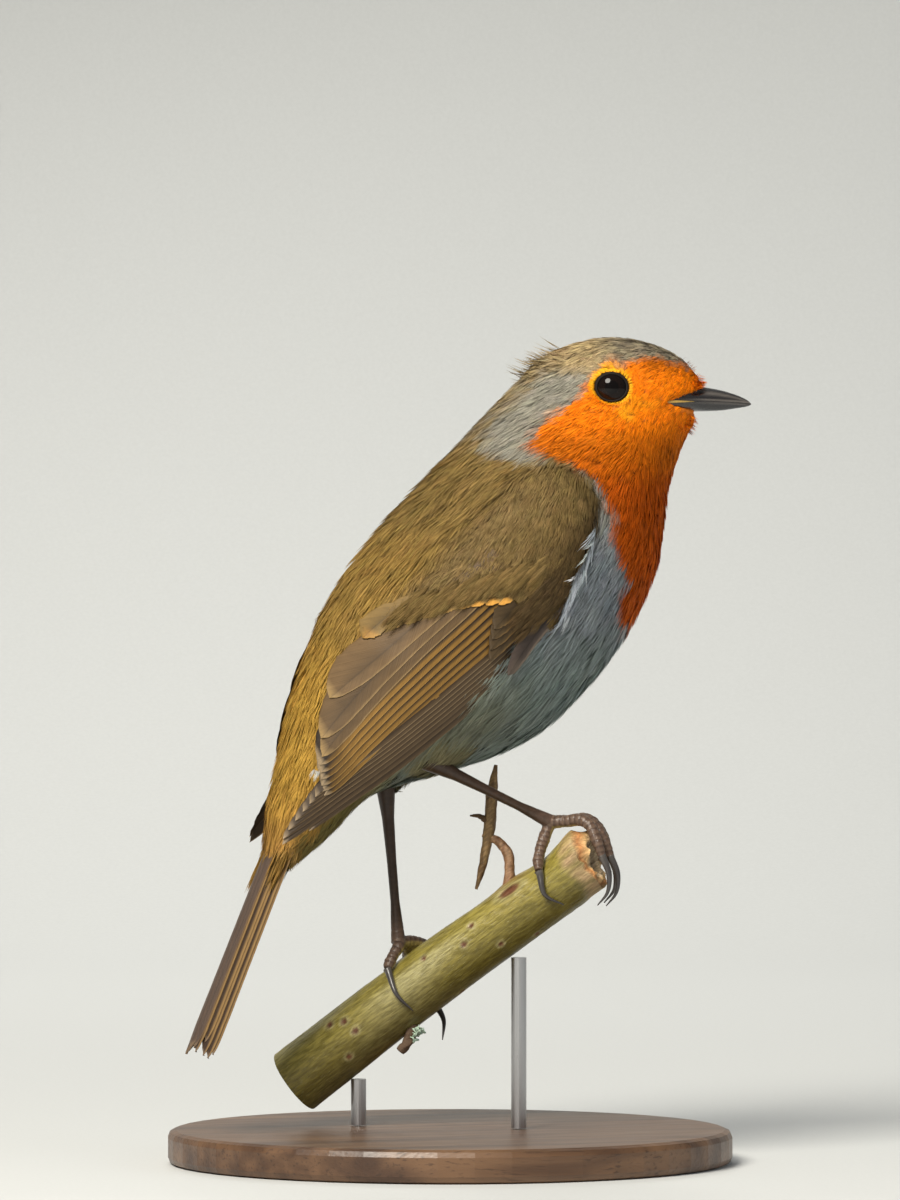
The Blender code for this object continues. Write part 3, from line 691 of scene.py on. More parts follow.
# how steeply feathers lie, in degrees, where they leave the body's own line
NECK_SLANT = 41
THROAT_SLANT = 63
BACK_SLANT = 66
BREAST_SLANT = 46
WING_SLANTS = ((0, 8, 26), (70, 66, 50))
FEATHER_LENGTHS = ((0, 2.5, 5, 9, 15, 25, 40, 60), (0.9, 1.2, 1.7, 2.2, 3.0, 4.2, 5.2, 6.3))
LENGTHS_BY_EYE = ((3.8, 6, 9), (0.45, 0.75, 1.0))
WING_LENGTH = 3.4
THIGH_LENGTH = 3.2
FEATHER_CROWDING = 5.8
FEATHER_KINDS = (
    # length from, length up to, how many barbs
    (0, 1.6, 7),
    (1.6, 2.6, 9),
    (2.6, 4.0, 12),
    (4.0, 99, 15),
)
SMALL_ROUGHNESS = 0.62
COAT_REGIONS = (
    # name, test on (straight, angle, wing share, thigh share)
    ("face_feathers", lambda q, a, w, t: (q[:, 2] > 117) & (q[:, 0] > 24)),
    ("crown_feathers", lambda q, a, w, t: q[:, 2] > 117),
    ("thigh_feathers", lambda q, a, w, t: t > 0.5),
    ("shoulder_feathers_left", lambda q, a, w, t: (w > 0.5) & (q[:, 1] > 0)),
    ("shoulder_feathers_right", lambda q, a, w, t: (w > 0.5) & (q[:, 1] < 0)),
    ("neck_feathers", lambda q, a, w, t: (q[:, 2] > 104) & (np.abs(a) < 95)),
    ("throat_feathers", lambda q, a, w, t: q[:, 2] > 100),
    ("mantle_feathers", lambda q, a, w, t: (np.abs(a) < 90) & (q[:, 2] > 80)),
    ("breast_feathers", lambda q, a, w, t: q[:, 2] > 84),
    ("rump_feathers", lambda q, a, w, t: np.abs(a) < 90),
    ("belly_feathers", lambda q, a, w, t: q[:, 2] > 66),
    ("vent_feathers", lambda q, a, w, t: q[:, 2] < 999),
)
LOOSE_FEATHERS = {
    # how many, their box's two corners, lengths, half width, barbs, height, 1 where they lift, seed, a barb's
    # breadth, the way that they point and the way that they face, all with the head straight
    "bill_bristles": (
        (
            130, (40.0, -3.0, 125.6), (43.0, 3.0, 127.6), (1.1, 1.8), 0.4, 6, 0.3, 0, 201, 0.8,
            (0.9, 0, -0.08), (0.2, 0, 1),
        ),
        (
            36, (38.5, -2.6, 127.4), (42.0, 2.6, 129.8), (0.6, 1.0), 0.4, 6, 0.3, 0, 204, 0.7,
            (0.7, 0, 0.25), (0.3, 0, 1),
        ),
        (
            150, (37.0, -2.8, 119.6), (41.0, 2.8, 122.3), (0.8, 1.4), 0.45, 7, 0.2, 0, 202, 0.8,
            (0.75, 0, -0.5), (0.5, 0, -0.85),
        ),
    ),
    "nape_tufts": (
        (90, (14.5, -5.5, 128.0), (21.0, 5.5, 134.0), (2.6, 4.4), 0.6, 8, 0.8, 1, 203, 0.8, None, None),
        (
            80, (13.5, -5.0, 126.5), (20.0, 5.0, 133.5), (2.4, 4.6), 0.6, 8, 0.3, 0, 206, 0.8,
            (-0.9, 0, 0.32), (0.3, 0, 1),
        ),
    ),
}
# the row of plumes: how many, its upper end's x and z, and how far it goes down the breast
PLUMES = 34
PLUME_TOP = (19.6, 107.0)
PLUME_REACH = (4.5, 14.5)
PLUME_GREY = (0.60, 0.64, 0.67)
SPIKE_WHITE = (0.72, 0.75, 0.77)


def triangles_of(mesh):
    mesh.calc_loop_triangles()
    corners = np.empty(len(mesh.loop_triangles) * 3, np.int32)
    mesh.loop_triangles.foreach_get("vertices", corners)
    return corners.reshape(-1, 3)


def on_skin(points):
    """Each point brought to the skin, with the skin's outward direction there."""
    spots = np.empty((len(points), 3))
    outs = np.empty((len(points), 3))
    for index, point in enumerate(points * MM):
        spot, out, _, _ = SKIN_TREE.find_nearest(point)
        spots[index] = spot
        outs[index] = out
    return spots / MM, outs


def feather_way(points, straight, nearest):
    """The way that feathers lie: back along the body, down the thighs, and out round the eyes."""
    ahead, _, high = straight.T
    slant = np.degrees(RISES[nearest])
    front = ease(ahead, 27, 33) * (1 - ease(high, 120, 124))
    behind = -inside(straight[:, [0, 2]], UNDER_EDGE)
    for slope, share in (
        (NECK_SLANT, ease(high, 107, 116) * (1 - front)),
        (THROAT_SLANT, front),
        (BACK_SLANT, ease(behind, 0.5, 5) * ease(high, 84, 96) * (1 - ease(high, 110, 116))),
        (BREAST_SLANT, ease(-behind, 0, 3) * (1 - front) * (1 - ease(high, 100, 108)) * ease(ahead, 0, 10)),
        (np.interp(on_wing(points)[0], *WING_SLANTS), wing_coverts_share(points)),
    ):
        slant = slant + (slope - slant) * share
    slant = np.radians(slant)
    way = np.stack([-np.cos(slant), 0 * slant, -np.sin(slant)], axis=1)
    way = turn_flat(way, HEAD_TURN * TURNS[nearest], 0)
    share, down = thigh_share(points)
    way = way + (down - way) * share[:, None]
    from_eye = np.abs(straight) - EYE_PLACE
    from_eye[:, 1] *= np.sign(straight[:, 1])
    gap = np.linalg.norm(from_eye, axis=1)
    round_eye = turn_flat(from_eye / gap[:, None], HEAD_TURN, 0)
    way = way + (round_eye - way) * (0.7 * (1 - ease(gap, 4.2, 5.6)))[:, None]
    return unit(way)


def scatter_roots(spacing_of, seed):
    """Roots spread over the skin by area, closer where spacing_of gives less space to each."""
    random = np.random.default_rng(seed)
    faces = triangles_of(skin.data)
    a, b, c = (SKIN_POINTS[faces[:, i]] for i in range(3))
    middle = (a + b + c) / 3
    area = np.linalg.norm(np.cross(b - a, c - a), axis=1) / 2
    wanted = area / spacing_of(middle) ** 2
    # each face gets its share of an even count, so that the roots lie evenly
    total = np.cumsum(wanted)
    picks = np.searchsorted(total, np.arange(0.5, total[-1], 1.0))
    u, v = random.random((2, len(picks)))
    fold = u + v > 1
    u[fold], v[fold] = 1 - u[fold], 1 - v[fold]
    u, v = u[:, None], v[:, None]
    return a[picks] * (1 - u - v) + b[picks] * u + c[picks] * v


def feather_sizes(points, straight, angle):
    """The length of the feathers at each point."""
    length = np.interp(np.linalg.norm(straight - BILL_ROOT, axis=1), *FEATHER_LENGTHS)
    length = length * np.interp(eye_gap(straight), *LENGTHS_BY_EYE)
    under = ease(np.abs(angle), 80, 120) * (1 - ease(straight[:, 2], 84, 96))
    length = length * (1 + 0.25 * under)
    length = length + (WING_LENGTH - length) * wing_coverts_share(points)
    return length + (THIGH_LENGTH - length) * thigh_share(points)[0]


def place_piece(name, mesh, material, nodes):
    """The mesh as a piece that rides on the model in place of its solids."""
    mesh.materials.append(material)
    piece = add_thing(name, mesh)
    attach(piece, "root")
    if nodes:
        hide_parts(*nodes)
    return piece


class Coat:
    """Barbs of many feathers, kept as arrays until they are made into one mesh."""

    def __init__(self):
        self.blocks = []

    def add(
        self, roots, length, width, barbs, depth, seed,
        lift=0.0, thick=1.0, tint=None, way=None, out_way=None, stray=0.1,
    ):
        """A feather on each root: its length, the half width of its fan, and the height of its tip. It lies
        along the skin unless it is given a way to point and a way to face."""
        if not len(roots):
            return
        random = np.random.default_rng(seed)
        count = len(roots)
        reach, angle, _, _ = on_body(roots)
        length, width, depth, lift = (np.broadcast_to(size, count) for size in (length, width, depth, lift))
        free = out_way is not None
        spot, out = (roots, np.tile(unit(np.array(out_way, float)), (count, 1))) if free else on_skin(roots)
        if way is not None:
            way = unit(np.array(way, float) + random.normal(0, stray, (count, 3)))
        line, outs, ways = [spot], [out], []
        heading = None
        sway = random.normal(0, 0.13, count)
        for part in range(3):
            if free:
                # loose feathers go straight on, clear of the skin
                heading = way
                ways.append(heading)
                line.append(line[-1] + heading * (length / 3)[:, None])
                outs.append(outs[-1])
                continue
            _, _, there, close = on_body(line[-1])
            flow = feather_way(line[-1], there, close) if way is None else way
            flow = unit(flow - outs[-1] * (flow * outs[-1]).sum(1, keepdims=True))
            across = np.cross(flow, outs[-1])
            flow = unit(flow + across * sway[:, None])
            heading = flow if heading is None else unit(heading * 0.4 + flow * 0.6)
            ways.append(heading)
            spot, out = on_skin(line[-1] + heading * (length / 3)[:, None])
            line.append(spot)
            outs.append(unit(outs[-1] + out))
        ways.append(heading)
        # the part that shows takes the colour of the place it lies on
        shown = line[0] if free else line[2]
        colour = plumage(shown, on_body(shown)[2]) if tint is None else np.tile(np.array(tint), (count, 1))
        colour = colour * np.exp(random.normal(0, 0.06, (count, 1)))
        colour = colour * np.exp(random.normal(0, 0.02, (count, 3)))
        line, outs, ways = (np.stack(part, axis=1) for part in (line, outs, ways))
        sides = unit(np.cross(ways, outs))

        stations = np.array(BARB_STATIONS)
        place = np.linspace(-1, 1, barbs)[None] + random.normal(0, 0.12, (count, barbs))
        share = (1 - 0.38 * place**2) * (1 + random.uniform(-0.16, 0.08, (count, barbs)))
        base = 0.12 * np.abs(place)
        t = base[..., None] + (share - base)[..., None] * stations
        t = np.clip(t, 0, 1.12)
        cell = np.clip((t * 3).astype(int), 0, 2)
        rest = t * 3 - cell
        pick = np.arange(count)[:, None, None]

        def at(values):
            return blend_to(values[pick, cell], values[pick, cell + 1], rest)

        middle, outward, sideways, forward = at(line), unit(at(outs)), unit(at(sides)), unit(at(ways))
        tip = (depth * random.uniform(0.82, 1.06, count))[:, None, None]
        high = tip * (0.12 + 0.88 * t**0.8) + lift[:, None, None] * t**2
        high = high - tip * 0.25 * (place**2)[..., None] * t
        spread = (place[..., None] * width[:, None, None]) * np.sin(np.clip(t * 1.5 + 0.12, 0, 1.5))
        middle = middle + outward * high[..., None] + sideways * spread[..., None]
        unrest = random.normal(0, 0.035, (count, barbs, 1, 1)) * depth[:, None, None, None]
        middle = middle + outward * unrest

        roll = random.uniform(-0.75, 0.75, (count, barbs, 1, 1))
        flat = sideways * np.cos(roll) + outward * np.sin(roll)
        half = 0.5 * thick * (0.085 + 0.014 * length)[:, None, None, None] * np.array(BARB_SHAPE)[:, None]
        edges = [(middle + sign * flat * half)[:, :, station] for station in range(3) for sign in (-1, 1)]
        points = np.stack([*edges, middle[:, :, 3]], axis=2)
        tilt = 0.22 * np.cross(forward, flat) * np.sign(np.cos(roll))
        lean = unit(outward + tilt + sideways * (0.25 * place)[..., None, None])
        normals = lean[:, :, [0, 0, 1, 1, 2, 2, 3]]
        each = np.exp(random.normal(0, 0.13, (count, barbs, 1, 1)))
        # darker towards each barb's root: painted shade between the feathers
        colours = colour[:, None, None, :] * each * np.array(BARB_PAINTED_SHADE)[:, None]

        across = 0.8 * place[..., None] + 0.12 * np.array(PATCH_ACROSS)
        u = (angle / 360 + 0.5)[:, None, None] + PATCH_SIZE * across
        v = (reach / STEPS[-1])[:, None, None] + PATCH_SIZE * np.array(PATCH_ALONG) + 0 * across
        self.blocks.append(
            dict(
                points=points.reshape(-1, 3),
                normals=normals.reshape(-1, 3),
                colours=colours.reshape(-1, 3),
                uv=np.stack([u, v], axis=3).reshape(-1, 2),
            )
        )

    def make(self, name, material, slot="trunk"):
        data = {key: np.concatenate([block[key] for block in self.blocks]) for key in self.blocks[0]}
        starts = np.arange(0, len(data["points"]), BARB_POINTS)
        faces = (starts[:, None, None] + np.array(BARB_STRIP)).reshape(-1)
        mesh = bpy.data.meshes.new(name)
        mesh.vertices.add(len(data["points"]))
        set_points(mesh, data["points"])
        mesh.loops.add(len(faces))
        mesh.loops.foreach_set("vertex_index", faces.astype(np.int32))
        mesh.polygons.add(len(faces) // 3)
        mesh.polygons.foreach_set("loop_start", np.arange(0, len(faces), 3, dtype=np.int32))
        mesh.polygons.foreach_set("loop_total", np.full(len(faces) // 3, 3, np.int32))
        mesh.polygons.foreach_set("use_smooth", np.ones(len(faces) // 3, bool))
        uv = data["uv"]
        low, high = uv.min(0), uv.max(0)
        uv = 0.01 + 0.98 * (uv - low) / (high - low)
        layer = mesh.uv_layers.new(name="OFBake")
        layer.data.foreach_set("uv", uv[faces].astype(np.float32).ravel())
        mesh.update()
        add_colours(mesh, "plumage", data["colours"])
        mesh.normals_split_custom_set_from_vertices(data["normals"].astype(np.float32))
        place_piece(name, mesh, material, ())


def feather_finish():
    finish = Finish("small_feathers", Roughness=SMALL_ROUGHNESS, Specular_IOR_Level=0.12)
    finish.mottle(finish.noise(0.35, 2.0), 0.86, 1.12)
    return finish.material


def spacing(points):
    _, angle, straight, _ = on_body(points)
    length = feather_sizes(points, straight, angle)
    return np.sqrt(length**1.25 / FEATHER_CROWDING)


def make_loose_feathers(material):
    """Feathers that stand clear: bristles at the bill, the ruffled nape and plumes beside the wing."""
    random = np.random.default_rng(17)

    def turned(way):
        return None if way is None else turn_flat(np.array([way], float), HEAD_TURN, 0)[0]

    for name, rows in LOOSE_FEATHERS.items():
        coat = Coat()
        for count, low, high, lengths, width, barbs, depth, lifted, seed, thick, way, out_way in rows:
            spots = low + (np.array(high) - low) * random.random((count, 3))
            spots = on_skin(turn_flat(spots, HEAD_TURN, NECK_PIVOT_X))[0]
            length = random.uniform(*lengths, count)
            lift = random.uniform(0.3, 2.4, count) if lifted else 0
            ways = {"way": turned(way), "out_way": turned(out_way)}
            coat.add(spots, length, width, barbs, depth, seed, lift, thick, **ways)
        coat.make(name, material, "head")
    plumes = Coat()
    for mirror in (-1, 1):
        share = np.linspace(0.2, 1, PLUMES) + random.uniform(-0.02, 0.02, PLUMES)
        x, z = (top - reach * share for top, reach in zip(PLUME_TOP, PLUME_REACH))
        spots = on_skin(np.stack([x, 0 * share + mirror * 16.0, z], axis=1))[0]
        length = random.uniform(6.5, 10.0, PLUMES)
        plumes.add(spots, length, 0.7, 8, 1.3, 205 + mirror, 1.0, 0.8, PLUME_GREY, (-0.72, 0, -0.7))
        spots = spots[3::2]
        length = random.uniform(5.0, 8.0, len(spots))
        plumes.add(spots, length, 0.42, 7, 1.6, 208 + mirror, 1.5, 0.8, SPIKE_WHITE, (-0.93, 0, -0.37))
    plumes.make("breast_plumes", material)


def make_coat():
    roots = scatter_roots(spacing, 11)
    _, angle, straight, _ = on_body(roots)
    # none on the eyeball or inside the bill
    ring = np.hypot(straight[:, 0] - EYE_PLACE[0], (straight[:, 2] - EYE_PLACE[2]) / 0.92)
    keep = ((ring > 3.0) | (np.abs(straight[:, 1]) < 4)) & (eye_gap(straight) > 3.6)
    keep &= (mouth_wedge(straight) < 0.1) & (straight[:, 0] < 43.0)
    roots, angle, straight = roots[keep], angle[keep], straight[keep]
    wing = wing_coverts_share(roots)
    thigh = thigh_share(roots)[0]
    depth = coat_depth(straight, roots)
    random = np.random.default_rng(5)
    length = feather_sizes(roots, straight, angle) * random.uniform(0.88, 1.12, len(roots))
    taken = np.zeros(len(roots), bool)
    plain = feather_finish()
    for number, (name, test) in enumerate(COAT_REGIONS):
        here = test(straight, angle, wing, thigh) & ~taken
        taken |= here
        coat = Coat()
        for low, high, barbs in FEATHER_KINDS:
            some = here & (length > low) & (length <= high)
            width = 0.30 * length[some] + 0.15
            coat.add(roots[some], length[some], width, barbs, depth[some], 100 * number + barbs)
        coat.make(name, plain)
    make_loose_feathers(plain)


make_coat()

# ---------------------------------------------------------------------------------------------------------
# The eyes: dark glass balls set in the head's sockets, each behind a thin bare lid, with three rings of tiny
# yellow feathers like beads round the lid.
EYE_RADIUS = 3.1
EYE_SHIFT = 0.65
EYE_RINGS = 37
EYE_SIDES = 56
IRIS_RADIUS = 2.45
LID = ((2.40, 2.45), (2.42, 2.62), (2.50, 2.73), (2.60, 2.78), (2.70, 2.76), (2.80, 2.68))
LID += ((2.88, 2.5), (2.96, 2.2))
LID_INSIDE = ((2.8, 1.9), (2.5, 2.0))
LID_SHAPE = (0.95, 0.85)
LID_SIDES = 72
BEAD_RINGS = ((2.68, 42, 0.5, 0.22), (2.9, 44, 0.65, 0.25), (3.2, 46, 0.85, 0.28))
EYE_BLACK = (0.004, 0.003, 0.003)
IRIS = (0.009, 0.005, 0.004)
LID_SKIN = (0.009, 0.007, 0.006)


def face_outwards(mesh, weld=False):
    made = bmesh.new()
    made.from_mesh(mesh)
    if weld:
        bmesh.ops.remove_doubles(made, verts=made.verts, dist=1e-7)
    bmesh.ops.recalc_face_normals(made, faces=made.faces)
    made.to_mesh(mesh)
    made.free()
    mesh.shade_smooth()


def piece_of(name, points, faces, material, nodes):
    """A closed mesh of points in millimetres, riding on the model."""
    mesh = bpy.data.meshes.new(name)
    mesh.from_pydata((np.asarray(points, float) * MM).tolist(), [], faces)
    face_outwards(mesh, weld=True)
    return place_piece(name, mesh, material, nodes)


def add_values(mesh, name, values):
    """A number on each point of a mesh."""
    layer = mesh.attributes.new(name, "FLOAT", "POINT")
    layer.data.foreach_set("value", np.array(values, np.float32))


def ring_faces(low, high, sides):
    """Faces between two rings of points, each given by the number of its first point."""
    after = [(i + 1) % sides for i in range(sides)]
    return [(low + i, low + after[i], high + after[i], high + i) for i in range(sides)]


def tube_faces(rings, sides, start=0):
    """Faces of a tube of so many rings."""
    pairs = ((start + row * sides, start + (row + 1) * sides) for row in range(rings - 1))
    return [face for low, high in pairs for face in ring_faces(low, high, sides)]


def cap_face(start, sides):
    return tuple(range(start, start + sides))


def capped_faces(rings, sides, start=0):
    """Faces of a tube that is closed at both ends."""
    caps = [cap_face(start, sides), cap_face(start + (rings - 1) * sides, sides)]
    return tube_faces(rings, sides, start) + caps


def turned_head(points):
    """Points of the straight head, moved to where the turned head has them."""
    return turn_flat(np.asarray(points, float), HEAD_TURN, NECK_PIVOT_X)


def lathe(profile, sides, squash=(1, 1)):
    """Rings of (radius, height) round +Z, as points."""
    around = np.arange(sides) * 2 * math.pi / sides
    rows = [
        np.stack([r * squash[0] * np.cos(around), r * squash[1] * np.sin(around), h + 0 * around], axis=1)
        for r, h in profile
    ]
    return np.concatenate(rows)


def make_eye_pieces():
    glass = Finish("eye_glass", Roughness=0.05, Specular_IOR_Level=0.3, IOR=1.38)
    far = glass.attribute("iris", "Fac")
    streaks = glass.noise(0.25, 3.0)
    ring = far.step(0.42, 0.50) * (1 - far.step(0.80, 0.90)) * (streaks * 0.9 + 0.25)
    glass.set("Base Color", glass.mix(ring, EYE_BLACK, IRIS))
    lid = Finish("lid_skin", Roughness=0.7, Specular_IOR_Level=0.15)
    fold = lid.noise(0.22, 3.0)
    lid.set("Base Color", lid.mix(fold, LID_SKIN, tuple(c * 2.2 for c in LID_SKIN)))
    lid.bump(fold, 0.08)
    for side, mirror in (("left", 1), ("right", -1)):
        place = np.array(EYE_PLACE) * (1, mirror, 1)

        def look_out(rings):
            """Rings round +Z, turned to face out of this side of the head."""
            return turned_head(rings[:, [0, 2, 1]] * (1, mirror, 1) + place)

        heights = np.cos(np.linspace(0.0, math.pi, EYE_RINGS))
        profile = [(EYE_RADIUS * math.sqrt(max(0, 1 - h * h)), EYE_RADIUS * h + EYE_SHIFT) for h in heights]
        ball = look_out(lathe(profile, EYE_SIDES))
        faces = tube_faces(EYE_RINGS, EYE_SIDES)
        eye = piece_of("eyeball_" + side, ball, faces, glass.material, ("eye_" + side,))
        outward = turn_flat(np.array([[0.0, mirror, 0.0]]), HEAD_TURN, 0)[0]
        away = mesh_arrays(eye.data)[0] - turned_head([place])[0]
        radial = np.linalg.norm(away - (away @ outward)[:, None] * outward, axis=1)
        add_values(eye.data, "iris", np.where(away @ outward > 0, radial / IRIS_RADIUS, 2.0))
        rim = lathe(LID + LID_INSIDE, LID_SIDES, LID_SHAPE)
        rim[:, 2] += SOCKET_LEAN * (rim[:, 1] / np.hypot(rim[:, 0], rim[:, 1])) ** 2
        rings = len(LID + LID_INSIDE)
        faces = tube_faces(rings, LID_SIDES) + ring_faces((rings - 1) * LID_SIDES, 0, LID_SIDES)
        piece_of("eyelid_" + side, look_out(rim), faces, lid.material, ())
        beads = Coat()
        for number, (radius, count, length, width) in enumerate(BEAD_RINGS):
            around = (np.arange(count) + 0.5 * (number % 2)) * 2 * math.pi / count
            ring = [radius * np.cos(around), radius * 0.90 * np.sin(around), 0 * around + 2.6]
            roots, _ = on_skin(look_out(np.stack(ring, axis=1)))
            # the outermost ring takes the plumage's own colour
            tint = EYE_RING if number < 2 else None
            beads.add(roots, length, width, 9, 0.45, 40 + number, thick=1.1, tint=tint)
        beads.make("eye_ring_feathers_" + side, bpy.data.materials["small_feathers"], "head")


make_eye_pieces()

# ---------------------------------------------------------------------------------------------------------
# The bill: two slender mandibles of dark horn that meet along the mouth, with a nostril slit on each side of
# the upper one near its root, and a soft yellowish gape in the corner of the mouth.
MOUTH_Z = MOUTH_CORNER[1]
BILL = (
    # x, upper height, lower height, half width, droop of the mouth's line
    (36.5, 2.6, 1.7, 5.7, 0.0),
    (38.0, 2.7, 1.75, 5.3, 0.0),
    (40.0, 2.65, 1.75, 4.2, 0.0),
    (42.0, 2.4, 1.72, 2.75, 0.0),
    (43.6, 2.15, 1.65, 2.05, 0.02),
    (45.8, 1.8, 1.45, 1.5, 0.1),
    (48.2, 1.2, 0.95, 0.95, 0.25),
    (49.8, 0.62, 0.5, 0.52, 0.42),
    (50.5, 0.12, 0.12, 0.18, 0.52),
)
NOSTRIL = (41.7, 1.3, 1.15, 0.34)
HORN = (0.013, 0.012, 0.013)
# pale horn of the cutting edge, also used for the painted highlights along the bill
HORN_EDGE_AND_HIGHLIGHT = (0.13, 0.115, 0.10)
HORN_ROOT = (0.026, 0.021, 0.018)
GAPE = (0.50, 0.32, 0.08)
# near-black in the nostril slit: painted shade inside the opening
NOSTRIL_PAINTED_SHADE = (0.004, 0.003, 0.003)
BILL_ROWS = 72
BILL_SIDES = 41
GAPE_FOLD = (
    # x, way out to the side, half thickness
    (36.0, 5.9, 0.10),
    (37.0, 5.74, 0.26),
    (38.2, 5.36, 0.22),
    (39.6, 4.64, 0.14),
    (41.2, 3.5, 0.04),
)
GAPE_SIDES = 12


def smooth_rows(table, count):
    """Rows of a table at even steps along a smooth curve through it."""
    rows = np.array(table, float)
    rows = np.concatenate([[2 * rows[0] - rows[1]], rows, [2 * rows[-1] - rows[-2]]])
    made = []
    for place in np.linspace(0, len(table) - 1, count):
        cell = min(int(place), len(table) - 2)
        t = place - cell
        a, b, c, d = rows[cell : cell + 4]
        bend = (2 * a - 5 * b + 4 * c - d) * t**2 + (3 * b - a - 3 * c + d) * t**3
        made.append(0.5 * (2 * b + (c - a) * t + bend))
    return np.array(made)


def mandible(sign):
    """Points of one half of the bill, and how far each is on the pale edge or the painted highlight, at the
    root or in the nostril.
    """
    points, edge, root, hole = [], [], [], []
    for x, up, down, wide, droop in smooth_rows(BILL, BILL_ROWS):
        high = up if sign > 0 else down
        for share in np.linspace(0, 1, BILL_SIDES):
            angle = math.pi * share
            rise = high * math.sin(angle) ** 0.8
            y = -wide * math.cos(angle)
            slit = 0.0
            # a pale band along the mouth: the paler cutting edge, with a painted highlight on it
            band = 0.35 * math.exp(-(((rise - 0.22) / 0.16) ** 2))
            if sign > 0:
                # a blunt ridge along the top, and a shallow groove that holds the nostril
                y *= 1 - 0.10 * math.sin(angle) ** 6
                long, tall = (x - NOSTRIL[0]) / NOSTRIL[2], (rise - NOSTRIL[1]) / NOSTRIL[3]
                slit = math.exp(-((long**2 + (tall - 0.25 * long) ** 2) ** 1.5))
                groove = math.exp(-(((x - NOSTRIL[0]) / 2.2) ** 2) - ((rise - NOSTRIL[1]) / 0.8) ** 2)
                y -= math.copysign(min(abs(y), 0.16 * groove + 0.30 * slit), y)
                # a painted highlight: a pale band along the middle of the upper mandible's side
                sheen = 0.55 * math.exp(-(((rise / high - 0.62) / 0.16) ** 2))
                band = max(0.8 * math.exp(-(((rise - 0.22) / 0.16) ** 2)), sheen)
            points.append((x, y, MOUTH_Z - droop + sign * rise))
            edge.append(band)
            root.append(1 - float(ease(np.array(x), 37.5, 42.5)))
            hole.append(min(1.0, slit * 1.6))
    return points, {"edge": edge, "root": root, "nostril": hole}


def make_bill_pieces():
    horn = Finish("bill_horn", Roughness=0.3, Coat_Weight=0.5, Coat_Roughness=0.16)
    grain = horn.noise(0.35, 4.0, (7, 1.4, 1.4))
    # the edge attribute brings in the paler cutting edge and the painted highlights
    colour = horn.mix(horn.attribute("edge", "Fac"), HORN, HORN_EDGE_AND_HIGHLIGHT)
    colour = horn.mix(horn.attribute("root", "Fac"), colour, HORN_ROOT)
    # painted shade in the nostril slit
    colour = horn.mix(horn.attribute("nostril", "Fac"), colour, NOSTRIL_PAINTED_SHADE)
    horn.mottle(grain, 0.7, 1.35, colour)
    horn.set("Roughness", grain * 0.14 + 0.2)
    horn.bump(grain, 0.05)
    faces = capped_faces(BILL_ROWS, BILL_SIDES)
    for name, sign, node in (("upper_mandible", 1, "bill_upper"), ("lower_mandible", -1, "bill_lower")):
        points, marks = mandible(sign)
        piece = piece_of(name, turned_head(points), faces, horn.material, (node,))
        for attribute, values in marks.items():
            add_values(piece.data, attribute, values)
        piece.data.set_sharp_from_angle(angle=math.radians(50))
    soft = Finish("gape_skin", Roughness=0.45)
    fine = soft.noise(0.3, 3.0)
    soft.set("Base Color", soft.mix(fine, tuple(c * 0.55 for c in GAPE), GAPE))
    soft.bump(fine, 0.05)
    points, faces = [], []
    for mirror in (-1, 1):
        faces += capped_faces(len(GAPE_FOLD), GAPE_SIDES, len(points))
        for x, out, thick in GAPE_FOLD:
            for step in range(GAPE_SIDES):
                angle = 2 * math.pi * step / GAPE_SIDES
                y = out - 0.16 + thick * 0.8 * math.cos(angle)
                points.append((x, mirror * y, MOUTH_Z + thick * math.sin(angle)))
    piece_of("gape_corners", turned_head(points), faces, soft.material, ())


make_bill_pieces()

# ---------------------------------------------------------------------------------------------------------
# The folded wings: flight feathers stacked like a shut fan, each a thin vane either side of a shaft. Three
# tertials lie on top, six secondaries under them, then eight primaries that reach past all. Greater coverts,
# primary coverts and the alula lie over their roots.
VANE_THICK = 0.09
# share across each web from the shaft outwards, closer where the shaft and the pale fringe are
OUTER_WEB = (0.0, 0.10, 0.35, 0.62, 0.80, 0.90, 1.0)
INNER_WEB = (0.0, 0.06, 0.35, 0.70, 0.92, 1.0)
TERTIALS = (
    # lower edge's rise at run 20 and at run 40, the tip's run and rise, outer and inner widths
    (7.6, 8.9, 50.6, 10.9, 1.7, 3.6),
    (5.9, 7.3, 56.4, 7.6, 1.8, 3.6),
    (4.4, 6.0, 58.6, 5.6, 1.5, 3.6),
)
SECONDARIES = (
    (3.3, 5.0, 59.8, 4.9, 1.15, 3.8),
    (2.1, 3.9, 60.6, 4.0, 1.15, 3.8),
    (0.9, 2.8, 61.4, 3.2, 1.15, 3.8),
    (-0.3, 1.7, 62.0, 2.4, 1.15, 3.8),
    (-1.5, 0.7, 62.6, 1.7, 1.1, 3.8),
    (-2.6, -0.3, 62.9, 1.0, 1.1, 3.8),
)
PRIMARIES = (
    (-3.3, -1.0, 64.0, 1.9, 0.85, 3.6),
    (-3.9, -1.7, 65.4, 1.75, 0.8, 3.6),
    (-4.5, -2.4, 67.0, 1.6, 0.8, 3.6),
    (-5.1, -3.1, 68.8, 1.4, 0.8, 3.4),
    (-5.6, -3.8, 70.6, 1.1, 0.8, 3.2),
    (-6.2, -4.5, 72.2, 0.7, 0.8, 3.0),
    (-6.8, -5.3, 72.9, 0.1, 0.85, 2.8),
    (-7.4, -6.3, 68.4, -1.5, 0.8, 2.2),
)
